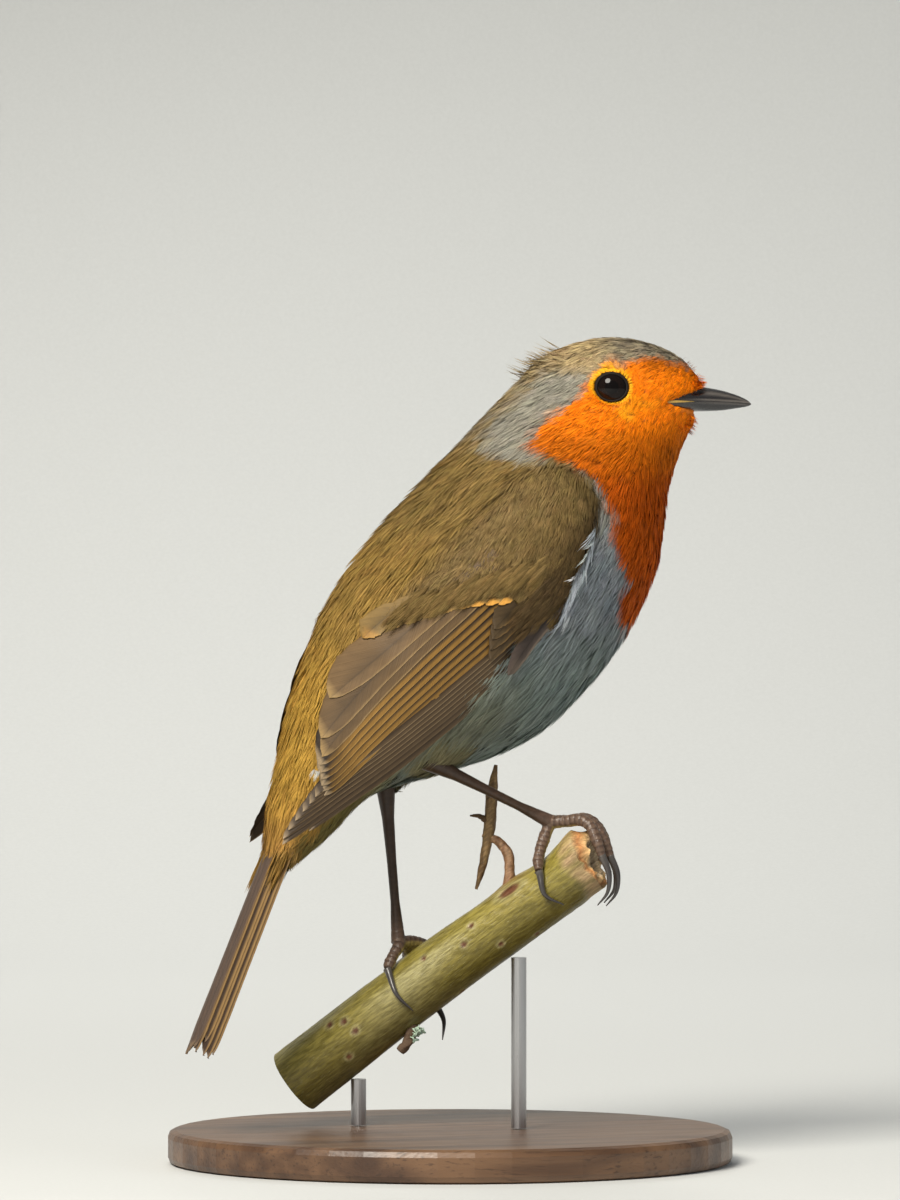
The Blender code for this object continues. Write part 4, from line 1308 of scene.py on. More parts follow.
GREATER_COVERTS = (
    # root's run and rise, the tip's run and rise, outer and inner widths, pale spot at the tip
    (31.6, 12.8, 40.2, 14.0, 1.3, 1.9, 0.3),
    (29.0, 11.4, 37.0, 12.8, 1.2, 2.2, 0.15),
    (26.6, 10.0, 34.6, 11.6, 1.2, 2.4, 0.1),
    (24.0, 8.7, 32.0, 10.3, 1.2, 2.4, 0.1),
    (21.6, 7.1, 29.6, 8.9, 1.2, 2.4, 0.15),
    (19.2, 5.6, 27.2, 7.4, 1.2, 2.4, 0.3),
    (17.0, 4.1, 25.5, 6.1, 1.2, 2.4, 0.85),
    (15.0, 2.6, 23.7, 4.5, 1.2, 2.3, 1.0),
    (13.4, 1.1, 22.2, 3.0, 1.2, 2.2, 1.0),
)
PRIMARY_COVERTS = (
    (15.5, -0.9, 25.6, 0.9, 1.1, 2.2, 0.3),
    (16.0, -1.8, 27.0, 0.0, 1.0, 2.2, 0.3),
    (16.5, -2.7, 28.4, -1.0, 0.9, 2.2, 0.3),
    (17.5, -3.6, 29.6, -2.1, 0.9, 2.0, 0.3),
)
ALULA = (
    (12.5, -3.9, 21.5, -3.9, 0.9, 1.3, 0.15),
    (14.5, -5.0, 29.2, -6.2, 1.2, 1.6, 0.4),
)
TERTIAL_BROWN = (0.130, 0.077, 0.032)
TERTIAL_END = (0.125, 0.076, 0.034)
TERTIAL_FRINGE = (0.28, 0.185, 0.08)
TERTIAL_SHADES = (1.05, 0.84, 0.8)
OCHRE_WEB = (0.20, 0.105, 0.022)
OCHRE_FRINGE = (0.30, 0.175, 0.045)
SECONDARY_END = (0.30, 0.22, 0.13)
DARK_WEB = (0.022, 0.014, 0.008)
PRIMARY_BROWN = (0.085, 0.054, 0.028)
PRIMARY_FRINGE = (0.21, 0.145, 0.075)
PRIMARY_END = (0.38, 0.28, 0.17)
ALULA_GREY = (0.058, 0.042, 0.034)
ALULA_FRINGE = (0.14, 0.105, 0.078)
COVER_GROUPS = (
    # feathers, depth of the first under the wing's face, step to the next, middle, fringe and spot at the tip
    (GREATER_COVERTS, 0.02, 0.05, (0.185, 0.115, 0.034), (0.22, 0.14, 0.045), (0.66, 0.32, 0.06)),
    (PRIMARY_COVERTS, 0.42, 0.08, (0.055, 0.034, 0.014), (0.13, 0.075, 0.025), (0.13, 0.085, 0.04)),
    (ALULA, 0.10, 0.10, ALULA_GREY, ALULA_FRINGE, ALULA_FRINGE),
)
STIFF_ROUGHNESS = 0.52
# the far wing sits a little lower on the back
FAR_WING_DROP = 0.9
SMALL_COVERTS = 34
SMALL_COVERT = (0.19, 0.122, 0.042)
DOWN_WISPS = 7
DOWN_WHITE = (0.62, 0.60, 0.55)


def wing_spot(run, rise, mirror, inwards):
    """Points of the folded wing, a depth in from its face."""
    slope = math.radians(WING_SLOPE)
    x = SHOULDER[0] - run * math.cos(slope) - rise * math.sin(slope)
    z = SHOULDER[1] - run * math.sin(slope) + rise * math.cos(slope)
    return np.stack([x, mirror * (wing_width(run, rise) - inwards), z], axis=-1)


class Vanes:
    """Stiff feathers, each a closed blade, kept as arrays until they are made into one mesh."""

    def __init__(self, seed):
        self.random = np.random.default_rng(seed)
        self.points, self.faces, self.colours, self.uv = [], [], [], []
        self.count = 0

    def add(self, spot, start, end, shaft, outer, inner, colour, blunt=0.16, rows=30, ragged=0.022, slim=0.0):
        """spot(way, across, t, dip, over) gives a point: way along the feather, across it (outer web below
        0), share of the way, share of the inner web and depth below its face. shaft(way) gives the shaft's
        place across, and colour(t, web) the colour."""
        ways = start + (end - start) * (1 - (1 - np.linspace(0, 1, rows)) ** 1.35)
        shares = np.array([-s for s in OUTER_WEB[:0:-1]] + list(INNER_WEB))
        columns = len(shares)
        t = np.repeat(((ways - start) / (end - start))[:, None], columns, axis=1)
        web = np.repeat(shares[None], rows, axis=0)
        shape = np.sqrt(np.clip(1 - (np.clip((t - 1 + blunt) / blunt, 0, 1)) ** 2.2, 0, 1))
        shape = shape * np.interp(t, (0, 0.25, 1), (0.45, 1, 1)) * (1 - slim * ease(t, 0.62, 1.0))
        torn = ragged * self.random.normal(0, 1, (rows, 2))
        torn = 1 + np.where(web < 0, torn[:, :1], torn[:, 1:]) * ease(t, 0.55, 0.95)
        across = web * (np.where(web < 0, outer, inner) * shape * torn)
        back = ways[:, None] - 0.5 * np.abs(across) * ease(t, 0.7, 1.0)
        arch = 0.05 * (1 - web**2)
        ridge = 0.02 * np.exp(-((web / 0.07) ** 2)) * (1 - 0.7 * t)
        place = shaft(ways)[:, None] + across
        dip = np.maximum(web, 0)
        face = spot(back, place, t, dip, -arch - ridge)
        under = spot(back, place, t, dip, -arch + VANE_THICK)
        size = rows * columns
        faces = []
        for a in (row * columns + column for row in range(rows - 1) for column in range(columns - 1)):
            b = a + size
            faces.append((a, a + 1, a + columns + 1, a + columns))
            faces.append((b, b + columns, b + columns + 1, b + 1))
        edge = [row * columns for row in range(rows)]
        edge += [size - columns + column for column in range(1, columns)]
        edge += [row * columns + columns - 1 for row in reversed(range(rows - 1))]
        edge += list(reversed(range(1, columns - 1)))
        faces += [(a, b, b + size, a + size) for a, b in zip(edge, edge[1:] + edge[:1])]
        tint = colour(t, web) * np.exp(self.random.normal(0, 0.05, (rows, columns, 1)))
        # darker along the shaft
        tint = tint * (1 - 0.35 * np.exp(-((web / 0.06) ** 2)))[..., None]
        uv = np.stack([across / 100 + 0.5, (back - start) / 100], axis=-1)
        self.points.append(np.concatenate([face.reshape(-1, 3), under.reshape(-1, 3)]))
        # the under face of each blade is painted darker: painted shade
        self.colours.append(np.concatenate([tint.reshape(-1, 3), 0.55 * tint.reshape(-1, 3)]))
        self.uv.append(np.concatenate([uv.reshape(-1, 2)] * 2))
        self.faces += (np.array(faces) + self.count).tolist()
        self.count += 2 * size

    def make(self, name, material, nodes, slot):
        mesh = bpy.data.meshes.new(name)
        mesh.from_pydata((np.concatenate(self.points) * MM).tolist(), [], self.faces)
        add_colours(mesh, "plumage", np.concatenate(self.colours))
        corners = np.empty(len(mesh.loops), np.int32)
        mesh.loops.foreach_get("vertex_index", corners)
        layer = mesh.uv_layers.new(name="vane")
        layer.data.foreach_set("uv", np.concatenate(self.uv)[corners].astype(np.float32).ravel())
        face_outwards(mesh)
        mesh.set_sharp_from_angle(angle=math.radians(60))
        place_piece(name, mesh, material, nodes)


def vane_finish():
    """Stiff feather: fine barbs that slant out from the shaft on both sides, with a soft sheen."""
    finish = Finish("flight_feathers", Roughness=STIFF_ROUGHNESS, Specular_IOR_Level=0.25)
    place = finish.node("UVMap", {"uv_map": "vane"})
    across = finish.node("SeparateXYZ", Vector=place) - 0.5
    along = finish.node("SeparateXYZ", output=1, Vector=place)
    slant = along - across.math("ABSOLUTE") * 2.0
    barbs = finish.node("CombineXYZ", X=slant * 330.0, Y=across * 25.0, Z=0.0)
    fine = finish.node("TexNoise", Vector=barbs, Scale=1.0, Detail=2.0)
    broad = finish.node("TexNoise", Vector=barbs, Scale=0.22, Detail=2.0)
    finish.mottle((fine * 0.6 + broad * 0.4).step(0.3, 0.7), 0.86, 1.12)
    finish.set("Roughness", fine * 0.2 + (STIFF_ROUGHNESS - 0.1))
    finish.bump(fine, 0.06)
    return finish.material


def through(row):
    """A smooth curve of the shaft's rise through its places at run 20, at run 40 and at the tip."""
    low, middle, tip_run, tip_rise, outer, _ = row
    runs = np.array((20.0, 40.0, tip_run))
    rises = np.array((low + outer, middle + outer, tip_rise))
    terms = np.polyfit(runs, rises, 2)
    return lambda run: np.polyval(terms, run)


def tertial_colour(number):
    def colour(t, web):
        brown = blend_to(TERTIAL_BROWN, TERTIAL_END, ease(t, 0.55, 1.0)) * TERTIAL_SHADES[number]
        dark = np.exp(-((web / 0.5) ** 2)) * (1 - ease(t, 0.8, 1.0))
        fringe = np.maximum(ease(-web, 0.86, 0.95) * 0.8, ease(t, 0.955, 0.99))
        return blend_to(brown * (1 - 0.30 * dark)[..., None], TERTIAL_FRINGE, fringe)

    return colour


def secondary_colour(t, web):
    ochre = blend_to(DARK_WEB, OCHRE_WEB, ease(-web, 0.22, 0.55) * (1 - 0.55 * ease(t, 0.82, 0.98)))
    ochre = blend_to(ochre, OCHRE_FRINGE, ease(-web, 0.86, 0.95) * ease(t, 0.3, 0.8))
    return blend_to(ochre, SECONDARY_END, ease(t, 0.975, 0.995))


def primary_colour(number):
    def colour(t, web):
        dusk = blend_to(DARK_WEB, PRIMARY_BROWN, 0.45 + 0.55 * ease(-web, 0.25, 0.6))
        fringe = ease(-web, 0.78, 0.93) * (1 - 0.4 * ease(t, 0.85, 1.0)) * (1.0 if number < 5 else 0.35)
        return blend_to(blend_to(dusk, PRIMARY_FRINGE, fringe), PRIMARY_END, ease(t, 0.985, 0.998))

    return colour


def covert_colour(middle, fringe, tip, tip_share):
    def colour(t, web):
        shade = blend_to(middle, np.array(middle) * 0.5, 0.7 * np.exp(-((web / 0.45) ** 2)))
        shade = blend_to(shade, fringe, ease(-web, 0.55, 0.9))
        return blend_to(shade, tip, tip_share * ease(t, 0.72, 0.88) * ease(-web, -0.6, -0.1))

    return colour


def covert_shaft(root_run, root_rise, run, rise):
    def shaft(way):
        share = (way - root_run) / (run - root_run)
        return root_rise + (rise - root_rise) * share + 0.5 * np.sin(share * math.pi)

    return shaft


def make_wing(side, mirror, material):
    lower = FAR_WING_DROP if mirror > 0 else 0.0

    def stack(base_drop, tip_drop, dip_size):
        """Places on the folded wing, a depth under its face that changes from a feather's root to its tip."""

        def spot(run, rise, t, dip, over):
            drop = base_drop + (tip_drop - base_drop) * t
            return wing_spot(run, rise - lower, mirror, drop + dip_size * dip + over)

        return spot

    seed = 70 if mirror > 0 else 90
    inner = Vanes(seed)
    for number, row in enumerate(TERTIALS):
        drop = 0.28 + 0.13 * number
        spot = stack(drop, drop, 0.30)
        inner.add(spot, 16.0, row[2], through(row), row[4], row[5], tertial_colour(number), blunt=0.22)
    for number, row in enumerate(SECONDARIES):
        spot = stack(0.68 + 0.12 * number, 0.62 + 0.09 * number, 0.30)
        inner.add(spot, 15.0, row[2], through(row), row[4], row[5], secondary_colour, blunt=0.10)
    inner.make(f"wing_{side}_inner_feathers", material, (f"wing_{side}_secondaries",), "secondaries")
    hand = Vanes(seed + 1)
    for number, row in enumerate(PRIMARIES):
        spot = stack(1.42 + 0.12 * number, 1.0 + 0.09 * number, 0.28)
        tone = primary_colour(number)
        hand.add(spot, 15.0, row[2], through(row), row[4], row[5], tone, blunt=0.11, rows=34, slim=0.5)
    hand.make(f"wing_{side}_primary_feathers", material, (f"wing_{side}_primaries",), "primaries")
    covers = Vanes(seed + 2)
    for rows, base, step, middle, fringe, tip in COVER_GROUPS:
        for number, (root_run, root_rise, run, rise, wide, deep, tip_share) in enumerate(rows):
            drop = base + step * number
            spot = stack(drop + 0.15, drop, 0.22)
            shaft = covert_shaft(root_run, root_rise, run, rise)
            tone = covert_colour(middle, fringe, tip, tip_share)
            covers.add(spot, root_run, run, shaft, wide, deep, tone, blunt=0.3, rows=22, ragged=0.08)
    covers.make(f"wing_{side}_covert_feathers", material, (), "coverts")


def make_wing_tufts(side, mirror):
    """Soft small coverts over the greater ones' roots, and a wisp of white down by the tertials' ends."""
    random = np.random.default_rng(31 if mirror > 0 else 32)
    slope = math.radians(WING_SLOPE)
    back = np.array([-math.cos(slope), 0.02 * mirror, 0.1 - math.sin(slope)])
    tufts = Coat()
    count = SMALL_COVERTS
    for number, (root_run, root_rise, run, rise, _, _, _) in enumerate(GREATER_COVERTS + PRIMARY_COVERTS):
        # fewer reach down over the coverts whose pale spots show
        share = random.uniform(-0.5, 0.05 if 5 < number < 9 else 0.30, count)
        at_run = root_run + (run - root_run) * share + random.normal(0, 0.3, count)
        at_rise = root_rise + (rise - root_rise) * share + random.uniform(-0.7, 1.0, count)
        spots = wing_spot(at_run, at_rise, mirror, np.interp(at_run, (15, 30), (0.15, -0.02)))
        tint = SMALL_COVERT if number < len(GREATER_COVERTS) else SHOULDER_DARK
        tufts.add(
            spots, random.uniform(3.6, 5.0, count), 0.6, 11, 0.12, 500 + number, 0, 0.8, tint,
            way=back, out_way=(0.0, mirror, 0.0), stray=0.04,
        )
    if mirror < 0:
        count = DOWN_WISPS
        at_run = 60.8 + random.normal(0, 0.3, count)
        spots = wing_spot(at_run, 5.0 + random.normal(0, 0.5, count), mirror, 0.8)
        tufts.add(
            spots, random.uniform(1.2, 2.4, count), 0.35, 6, 0.3, 600, 0.4, 0.6, DOWN_WHITE,
            way=(-0.35, 0.12 * mirror, -0.35), out_way=(0.0, mirror, 0.1), stray=0.25,
        )
    tufts.make(f"wing_{side}_tufts", bpy.data.materials["small_feathers"], "coverts")


stiff = vane_finish()
for side, mirror in (("left", 1), ("right", -1)):
    make_wing(side, mirror, stiff)
    make_wing_tufts(side, mirror)

# ---------------------------------------------------------------------------------------------------------
# The tail: twelve feathers in a shallow roof, the middle pair on top and each pair outwards tucked under the
# one before, with a small notch in its end.
TAIL_ROOT = (-24.8, 0.0, 62.5)
TAIL_TIP = (-44.0, 0.0, 18.4)
TAIL_HALF_WIDTH = ((0, 0.83, 1), (5.2, 6.6, 6.6))
TAIL_THICK = (2.4, 1.0)
TAIL_ROOF = 1.2
TAIL_SHAFTS = (0.13, 0.28, 0.54, 0.64, 0.83, 0.93)
TAIL_ENDS = (1.2, 0.6, 2.6, 0.4, 0.2, 1.0)
TAIL_MIDDLE = (0.084, 0.056, 0.041)
TAIL_OCHRE = (0.23, 0.14, 0.055)
TAIL_DARK = (0.050, 0.031, 0.020)
TAIL_TIPS = (0.17, 0.115, 0.07)
TAIL_COVERT = (0.27, 0.155, 0.04)
ROOT_COVERTS = 380


def tail_colour(pair, mirror):
    def colour(t, web):
        if pair == 0:
            shade = blend_to(TAIL_MIDDLE, TAIL_OCHRE, ease(np.abs(web), 0.75, 0.98) * 0.45)
        else:
            # the far (left) side's feathers take only a little of the ochre, greyer and duller: painted shade
            # over the tail's far side
            base, share = (TAIL_MIDDLE, 0.22) if mirror > 0 else (TAIL_DARK, 1.0)
            shade = blend_to(base, TAIL_OCHRE, ease(-web, 0.2, 0.8) * share)
        return blend_to(shade, TAIL_TIPS, ease(t, 0.975, 0.995))

    return colour


def make_tail_feathers(material):
    root, tip = np.array(TAIL_ROOT), np.array(TAIL_TIP)
    length = np.linalg.norm(tip - root)
    along = (tip - root) / length
    up = np.cross((0, 1, 0), along)

    def half_width(way):
        return np.interp(way / length, *TAIL_HALF_WIDTH)

    def tail_spot(pair, mirror):
        def spot(way, across, t, dip, over):
            thick = np.interp(way / length, (0, 1), TAIL_THICK)
            roof = TAIL_ROOF * (1 - np.clip(-across / half_width(way), 0, 1) ** 2)
            lift = roof - TAIL_ROOF / 2 + thick / 2 - 0.10 - (0.16 - 0.04 * t) * pair - 0.25 * dip - over
            # the two middle feathers lie one over the other
            lift = lift + (0.04 * mirror if pair == 0 else 0.0)
            out = np.array((0.0, mirror, 0.0)) * across[..., None]
            return root + along * way[..., None] - out + up * lift[..., None]

        return spot

    def tail_shaft(pair):
        return lambda way: -TAIL_SHAFTS[pair] * half_width(way)

    tail = Vanes(60)
    for pair in reversed(range(6)):
        outer, inner = (1.6, 1.6) if pair == 0 else (1.25 - 0.12 * pair, 3.4)
        for mirror in (1, -1):
            spot, tone = tail_spot(pair, mirror), tail_colour(pair, mirror)
            end = length - TAIL_ENDS[pair]
            tail.add(spot, 3.0, end, tail_shaft(pair), outer, inner, tone, blunt=0.09, rows=34)
    tail.make("tail_feathers", material, ("tail",), "tail")
    # long coverts run down over the feathers' roots, above and below
    random = np.random.default_rng(23)
    coverts = Coat()
    count = ROOT_COVERTS
    side = random.uniform(-1, 1, count)
    way = random.uniform(0, 1, count) * np.interp(np.abs(side), (0.1, 0.3, 0.8), (9, 11, 14.5))
    rise = TAIL_ROOF * (1 - side**2) + TAIL_THICK[0] / 2 - 1.0
    out = np.stack([0 * side, side * half_width(way), 0 * side], axis=1)
    spots = root + along * way[:, None] + out + up * rise[:, None]
    for low, high, tint in ((0, 7, RUMP), (7, 15.1, TAIL_COVERT)):
        some = (way >= low) & (way < high)
        coverts.add(
            spots[some], random.uniform(5.0, 7.5, some.sum()), 0.7, 12, 0.3, 300 + low, tint=tint,
            way=along - 0.05 * up, out_way=up, stray=0.035,
        )
    below = spots - up * (2 * rise[:, None] + 0.3)
    # the undertail coverts take the undertail's colour, with its painted shade
    coverts.add(
        below[way < 9], random.uniform(6.0, 8.5, (way < 9).sum()), 0.9, 12, 0.4, 320, tint=UNDERTAIL_WITH_PAINTED_SHADE,
        way=along + 0.06 * up, out_way=-up, stray=0.04,
    )
    coverts.make("tail_coverts", bpy.data.materials["small_feathers"], "tail")


make_tail_feathers(stiff)

# ---------------------------------------------------------------------------------------------------------
# The perch: a short cut length of a green-barked branch with grey-brown lenticels, broken at its upper end so
# that a pale ring of wood shows, with a curled spur and a dead twig on it, and a scrap of lichen beneath.
BRANCH_TOP = (20.5, -11.1, 49.2)
BRANCH_FOOT = (-20.6, 17.5, 12.6)
BRANCH_RADIUS = (4.75, 5.5)
BRANCH_BOW = 0.6
BREAK_SLANT = 0.08
BREAK_SPLINTERS = 0.9
SPUR = ((-14.2, 3.4, 0.6), (-12.2, 6.2, 0.4), (-10.8, 8.7, 0.0), (-10.9, 11.4, -0.4), (-12.4, 13.9, -0.6))
SPUR_RADII = (1.15, 0.85, 0.85, 0.75, 0.45)
TWIG = ((-18.5, 7.2, -0.2), (-15.2, 9.9, -0.4), (-10.8, 14.3, -0.6), (-7.4, 18.5, -0.7), (-4.0, 22.1, -0.8))
TWIG_RINGS = 46
TWIG_SIDES = 20
TWIG_RADII = (0.22, 0.7, 0.95, 0.95, 0.3)
THORN = ((-10.2, 14.6, -0.5), (-11.0, 16.6, -0.1), (-12.2, 17.6, 0.1))
THORN_RADII = (0.7, 0.4, 0.14)
LENTICELS = (
    # how far along from the broken end, degrees round from the top, length along, half width round
    (-13.2, 46, 4.4, 0.9),
    (-21.6, 62, 0.9, 0.45),
    (-24.2, 84, 1.0, 0.5),
    (-19.3, 125, 0.9, 0.4),
    (-31.2, 60, 0.8, 0.4),
    (-48.2, 65, 1.1, 0.5),
    (-50.6, 52, 1.2, 0.5),
    (-47.4, 92, 1.1, 0.5),
    (-50.9, 122, 1.0, 0.45),
    (-8.0, -60, 1.2, 0.5),
    (-18.0, -100, 1.0, 0.5),
    (-27.0, -45, 1.1, 0.5),
    (-36.0, -90, 1.0, 0.45),
    (-30.0, 170, 1.2, 0.5),
    (-14.0, 160, 1.0, 0.5),
)
BARK_GREEN = (0.235, 0.195, 0.040)
BARK_PALE = (0.34, 0.31, 0.15)
# darker olive on the branch's lower side: painted shade
BARK_UNDERSIDE_PAINTED_SHADE = (0.085, 0.065, 0.008)
LENTICEL = (0.12, 0.045, 0.022)
WOOD_RING = (0.66, 0.42, 0.19)
WOOD_ORANGE = (0.42, 0.18, 0.06)
WOOD_GREY = (0.30, 0.22, 0.15)
WOOD_BEIGE = (0.44, 0.33, 0.21)
SAWN_WOOD = (0.55, 0.40, 0.24)
BARE_WOOD = (0.40, 0.27, 0.15)
TWIG_BROWN = (0.095, 0.046, 0.014)
TWIG_PALE = (0.26, 0.165, 0.07)
BRANCH_RINGS = 150
BRANCH_SIDES = 120
BREAK_RINGS = (
    # share of the branch's radius, height, colour
    (0.86, 0.15, WOOD_ORANGE),
    (0.72, 0.55, WOOD_RING),
    (0.58, 0.45, WOOD_BEIGE),
    (0.42, 0.25, WOOD_BEIGE),
    (0.30, -0.7, WOOD_GREY),
    (0.15, -1.0, (0.16, 0.09, 0.05)),
    (0.02, -1.1, (0.10, 0.06, 0.04)),
)
SAWN_RINGS = ((0.93, 0.072), (0.6, 0.04), (0.3, 0.024), (0.05, 0.008))
BRANCH_LIMBS = (
    # path from the broken end as (along, up, side), radii, seed, two colours
    (SPUR, SPUR_RADII, 50, (0.20, 0.095, 0.045), (0.34, 0.20, 0.11)),
    (TWIG, TWIG_RADII, 53, TWIG_BROWN, TWIG_PALE),
    (THORN, THORN_RADII, 56, TWIG_BROWN, TWIG_BROWN),
)
LICHEN = (0.40, 0.52, 0.40)
LICHEN_MIDDLE = (-40.0, -6.1, 1.7)
LICHEN_LOBES = 11
LOBE_SIDES = 14
STUB = ((-39.9, -4.6, 1.2), (-42.1, -6.4, 1.6), (-44.1, -6.9, 1.7))
STUB_RADII = (1.0, 0.95, 0.75)
STUB_RINGS = 20
STUB_SIDES = 18
STUB_BROWN = (0.10, 0.06, 0.035)


def branch_axes():
    """Along the branch towards its broken end, out of its upper side, and towards the bird's right."""
    line = np.array(BRANCH_TOP) - np.array(BRANCH_FOOT)
    along = line / np.linalg.norm(line)
    up = np.array((0, 0, 1)) - along * along[2]
    up = up / np.linalg.norm(up)
    return along, up, np.cross(along, up), np.linalg.norm(line)


ALONG_BRANCH, UP_BRANCH, SIDE_BRANCH, BRANCH_LENGTH = branch_axes()


def by_branch(along, up, side):
    """Points measured from the branch's axis, which bows up a little."""
    along, up, side = (np.asarray(value, float) for value in (along, up, side))
    share = np.clip(-along / BRANCH_LENGTH, 0, 1)
    rise = up + BRANCH_BOW * 4 * share * (1 - share)
    return (
        np.array(BRANCH_TOP)
        + along[..., None] * ALONG_BRANCH
        + rise[..., None] * UP_BRANCH
        + side[..., None] * SIDE_BRANCH
    )


def branch_radius(along):
    return BRANCH_RADIUS[0] + (BRANCH_RADIUS[1] - BRANCH_RADIUS[0]) * (-along / BRANCH_LENGTH)


def round_branch(along, angle, height):
    """Points a height over the bark, so many degrees round from the branch's upper side."""
    radius = branch_radius(along) + height
    return by_branch(along, radius * np.cos(np.radians(angle)), radius * np.sin(np.radians(angle)))


def ripple(places, size, seed, count=9):
    """Random waves about -1 to 1 over places of any dimension."""
    random = np.random.default_rng(seed)
    total = np.zeros(len(places))
    for _ in range(count):
        way = random.normal(size=places.shape[1]) / np.asarray(size, float)
        total += np.sin(places @ way * 2 + random.uniform(0, 2 * math.pi))
    return total / math.sqrt(count)


def circle(turn, size):
    return size * np.stack([np.cos(turn), np.sin(turn)], axis=1)


def tube_points(path, radii, count, sides, rough=0.0, seed=1):
    """Rings of a limb along a smooth path through the given points."""
    line = smooth_rows(path, count)
    ways = unit(np.gradient(line, axis=0))
    across = unit(np.cross(ways, SIDE_BRANCH + 0.001))
    other = np.cross(ways, across)
    wide = np.interp(np.linspace(0, len(radii) - 1, count), range(len(radii)), radii)
    rows = np.repeat(np.arange(count), sides)
    turn = np.tile(np.arange(sides) * 2 * math.pi / sides, count)
    places = np.column_stack([rows * 0.35, circle(turn, 1.4)])
    radius = wide[rows] * (1 + rough * ripple(places, 1.0, seed))
    out = across[rows] * np.cos(turn)[:, None] + other[rows] * np.sin(turn)[:, None]
    return line[rows] + radius[:, None] * out


class Form:
    """Points, colours and faces of one piece, gathered from several parts."""

    def __init__(self):
        self.points = np.empty((0, 3))
        self.colours = np.empty((0, 3))
        self.faces = []

    def add(self, points, colours, faces=()):
        """Another part, whose faces count from its own first point. Gives that point's number here."""
        start = len(self.points)
        self.points = np.concatenate([self.points, points])
        self.colours = np.concatenate([self.colours, np.broadcast_to(colours, (len(points), 3))])
        self.faces += [tuple(start + i for i in face) for face in faces]
        return start

    def close(self, last, rings, sides):
        """An end of a tube filled in by smaller and smaller rings, each given as points and colours."""
        for points, colours in rings:
            begin = self.add(points, colours)
            self.faces += ring_faces(last, begin, sides)
            last = begin
        self.faces.append(cap_face(last, sides))

    def piece(self, name, material, nodes, slot):
        piece = piece_of(name, self.points, self.faces, material, nodes)
        add_colours(piece.data, "plumage", self.colours)
        return piece


def branch_bark():
    """Points and colours of the bark, and how bare of bark the wood is there."""
    along = np.repeat(-BRANCH_LENGTH * np.linspace(0, 1, BRANCH_RINGS), BRANCH_SIDES)
    angles = np.tile(np.arange(BRANCH_SIDES) * 360.0 / BRANCH_SIDES, BRANCH_RINGS)
    turn = np.radians(angles)
    from_top = np.abs((angles + 180) % 360 - 180)
    places = np.column_stack([along * 0.22, circle(turn, 5)])
    fine = np.column_stack([along * 0.55, circle(turn, 9)])
    height = 0.07 * ripple(places, 2.4, 21) + 0.025 * ripple(fine, 0.9, 22, 14)
    mark = np.zeros(len(along))
    lip = np.zeros(len(along))
    for middle, angle, long, wide in LENTICELS:
        round_way = (angles - angle + 180) % 360 - 180
        gap = np.hypot((along - middle) / (long / 2 + 0.15), np.radians(round_way) * 5.1 / (wide + 0.1))
        mark = np.maximum(mark, 1 - ease(gap, 0.6, 1.15))
        lip = np.maximum(lip, np.exp(-(((gap - 1.15) / 0.35) ** 2)))
    height = height + 0.10 * lip - 0.06 * mark
    # swollen round the spur, thinner where the bark has gone by the broken end
    swell = np.hypot((along + 13.0) / 3.0, from_top / 40.0)
    height = height + 0.45 * np.exp(-(swell**2))
    edge = 1.2 * ripple(places[:, 1:], 3.0, 5)
    bare = 1 - ease(-along, 2.2 + edge, 4.4 + edge)
    height = height - 0.18 * bare
    height = height + 1.6 * np.clip(np.cos(turn) + 0.25, 0, 1) * np.exp(-((along / 3.6) ** 2))
    jag = BREAK_SPLINTERS * np.abs(ripple(circle(turn, 6), 1.6, 31))
    slant = BREAK_SLANT * BRANCH_RADIUS[0] * np.cos(turn) - 0.55 * jag
    points = round_branch(along, angles, height)
    points = points + (slant * (1 - ease(-along, 0, 5)))[:, None] * ALONG_BRANCH
    colour = blend_to(BARK_GREEN, BARK_PALE, ease(ripple(places, 3.5, 24), -0.3, 1.3) * 0.8)
    # painted shade: the lower side of the branch darker
    colour = blend_to(colour, BARK_UNDERSIDE_PAINTED_SHADE, 0.75 * ease(from_top, 60, 135))
    colour = blend_to(colour, TWIG_PALE, 0.8 * np.exp(-((swell / 1.1) ** 2)))
    colour = blend_to(colour, LENTICEL, mark)
    colour = blend_to(colour, BARK_PALE, 0.6 * lip)
    worn = 0.85 * bare * (0.75 + 0.25 * ripple(places * (0.3, 1, 1), 0.5, 26))
    return points, blend_to(colour, BARE_WOOD, worn), bare


def broken_rings():
    """A rim of splinters, a pale ring of wood and a sunken grey-brown pith."""
    turn = np.radians(np.arange(BRANCH_SIDES) * 360.0 / BRANCH_SIDES)
    upper = np.clip(np.cos(turn) + 0.25, 0, 1)
    for number, (share, out, tone) in enumerate(BREAK_RINGS):
        rough = ripple(circle(turn, 5), 1.1, 40 + number)
        crest = upper * math.exp(-(((share - 0.62) / 0.26) ** 2))
        reach = (branch_radius(0) - 0.2) * (share + 0.03 * rough) + 1.6 * share * upper
        rise = out + 0.32 * rough - 0.35 + BREAK_SLANT * BRANCH_RADIUS[0] * np.cos(turn) * share
        rise = rise + (2.3 + 0.9 * rough) * crest
        ring = by_branch(rise, reach * np.cos(turn), reach * np.sin(turn))
        yield ring, np.array(tone) * np.exp(0.25 * rough)[:, None]


def sawn_rings():
    """The sawn end, dished a little, with rings of growth."""
    turn = np.radians(np.arange(BRANCH_SIDES) * 360.0 / BRANCH_SIDES)
    for share, dish in SAWN_RINGS:
        reach = branch_radius(-BRANCH_LENGTH) * share
        ring = by_branch(dish - BRANCH_LENGTH + 0 * turn, reach * np.cos(turn), reach * np.sin(turn))
        yield ring, np.array(SAWN_WOOD) * (0.8 + 0.25 * math.sin(share * 40))


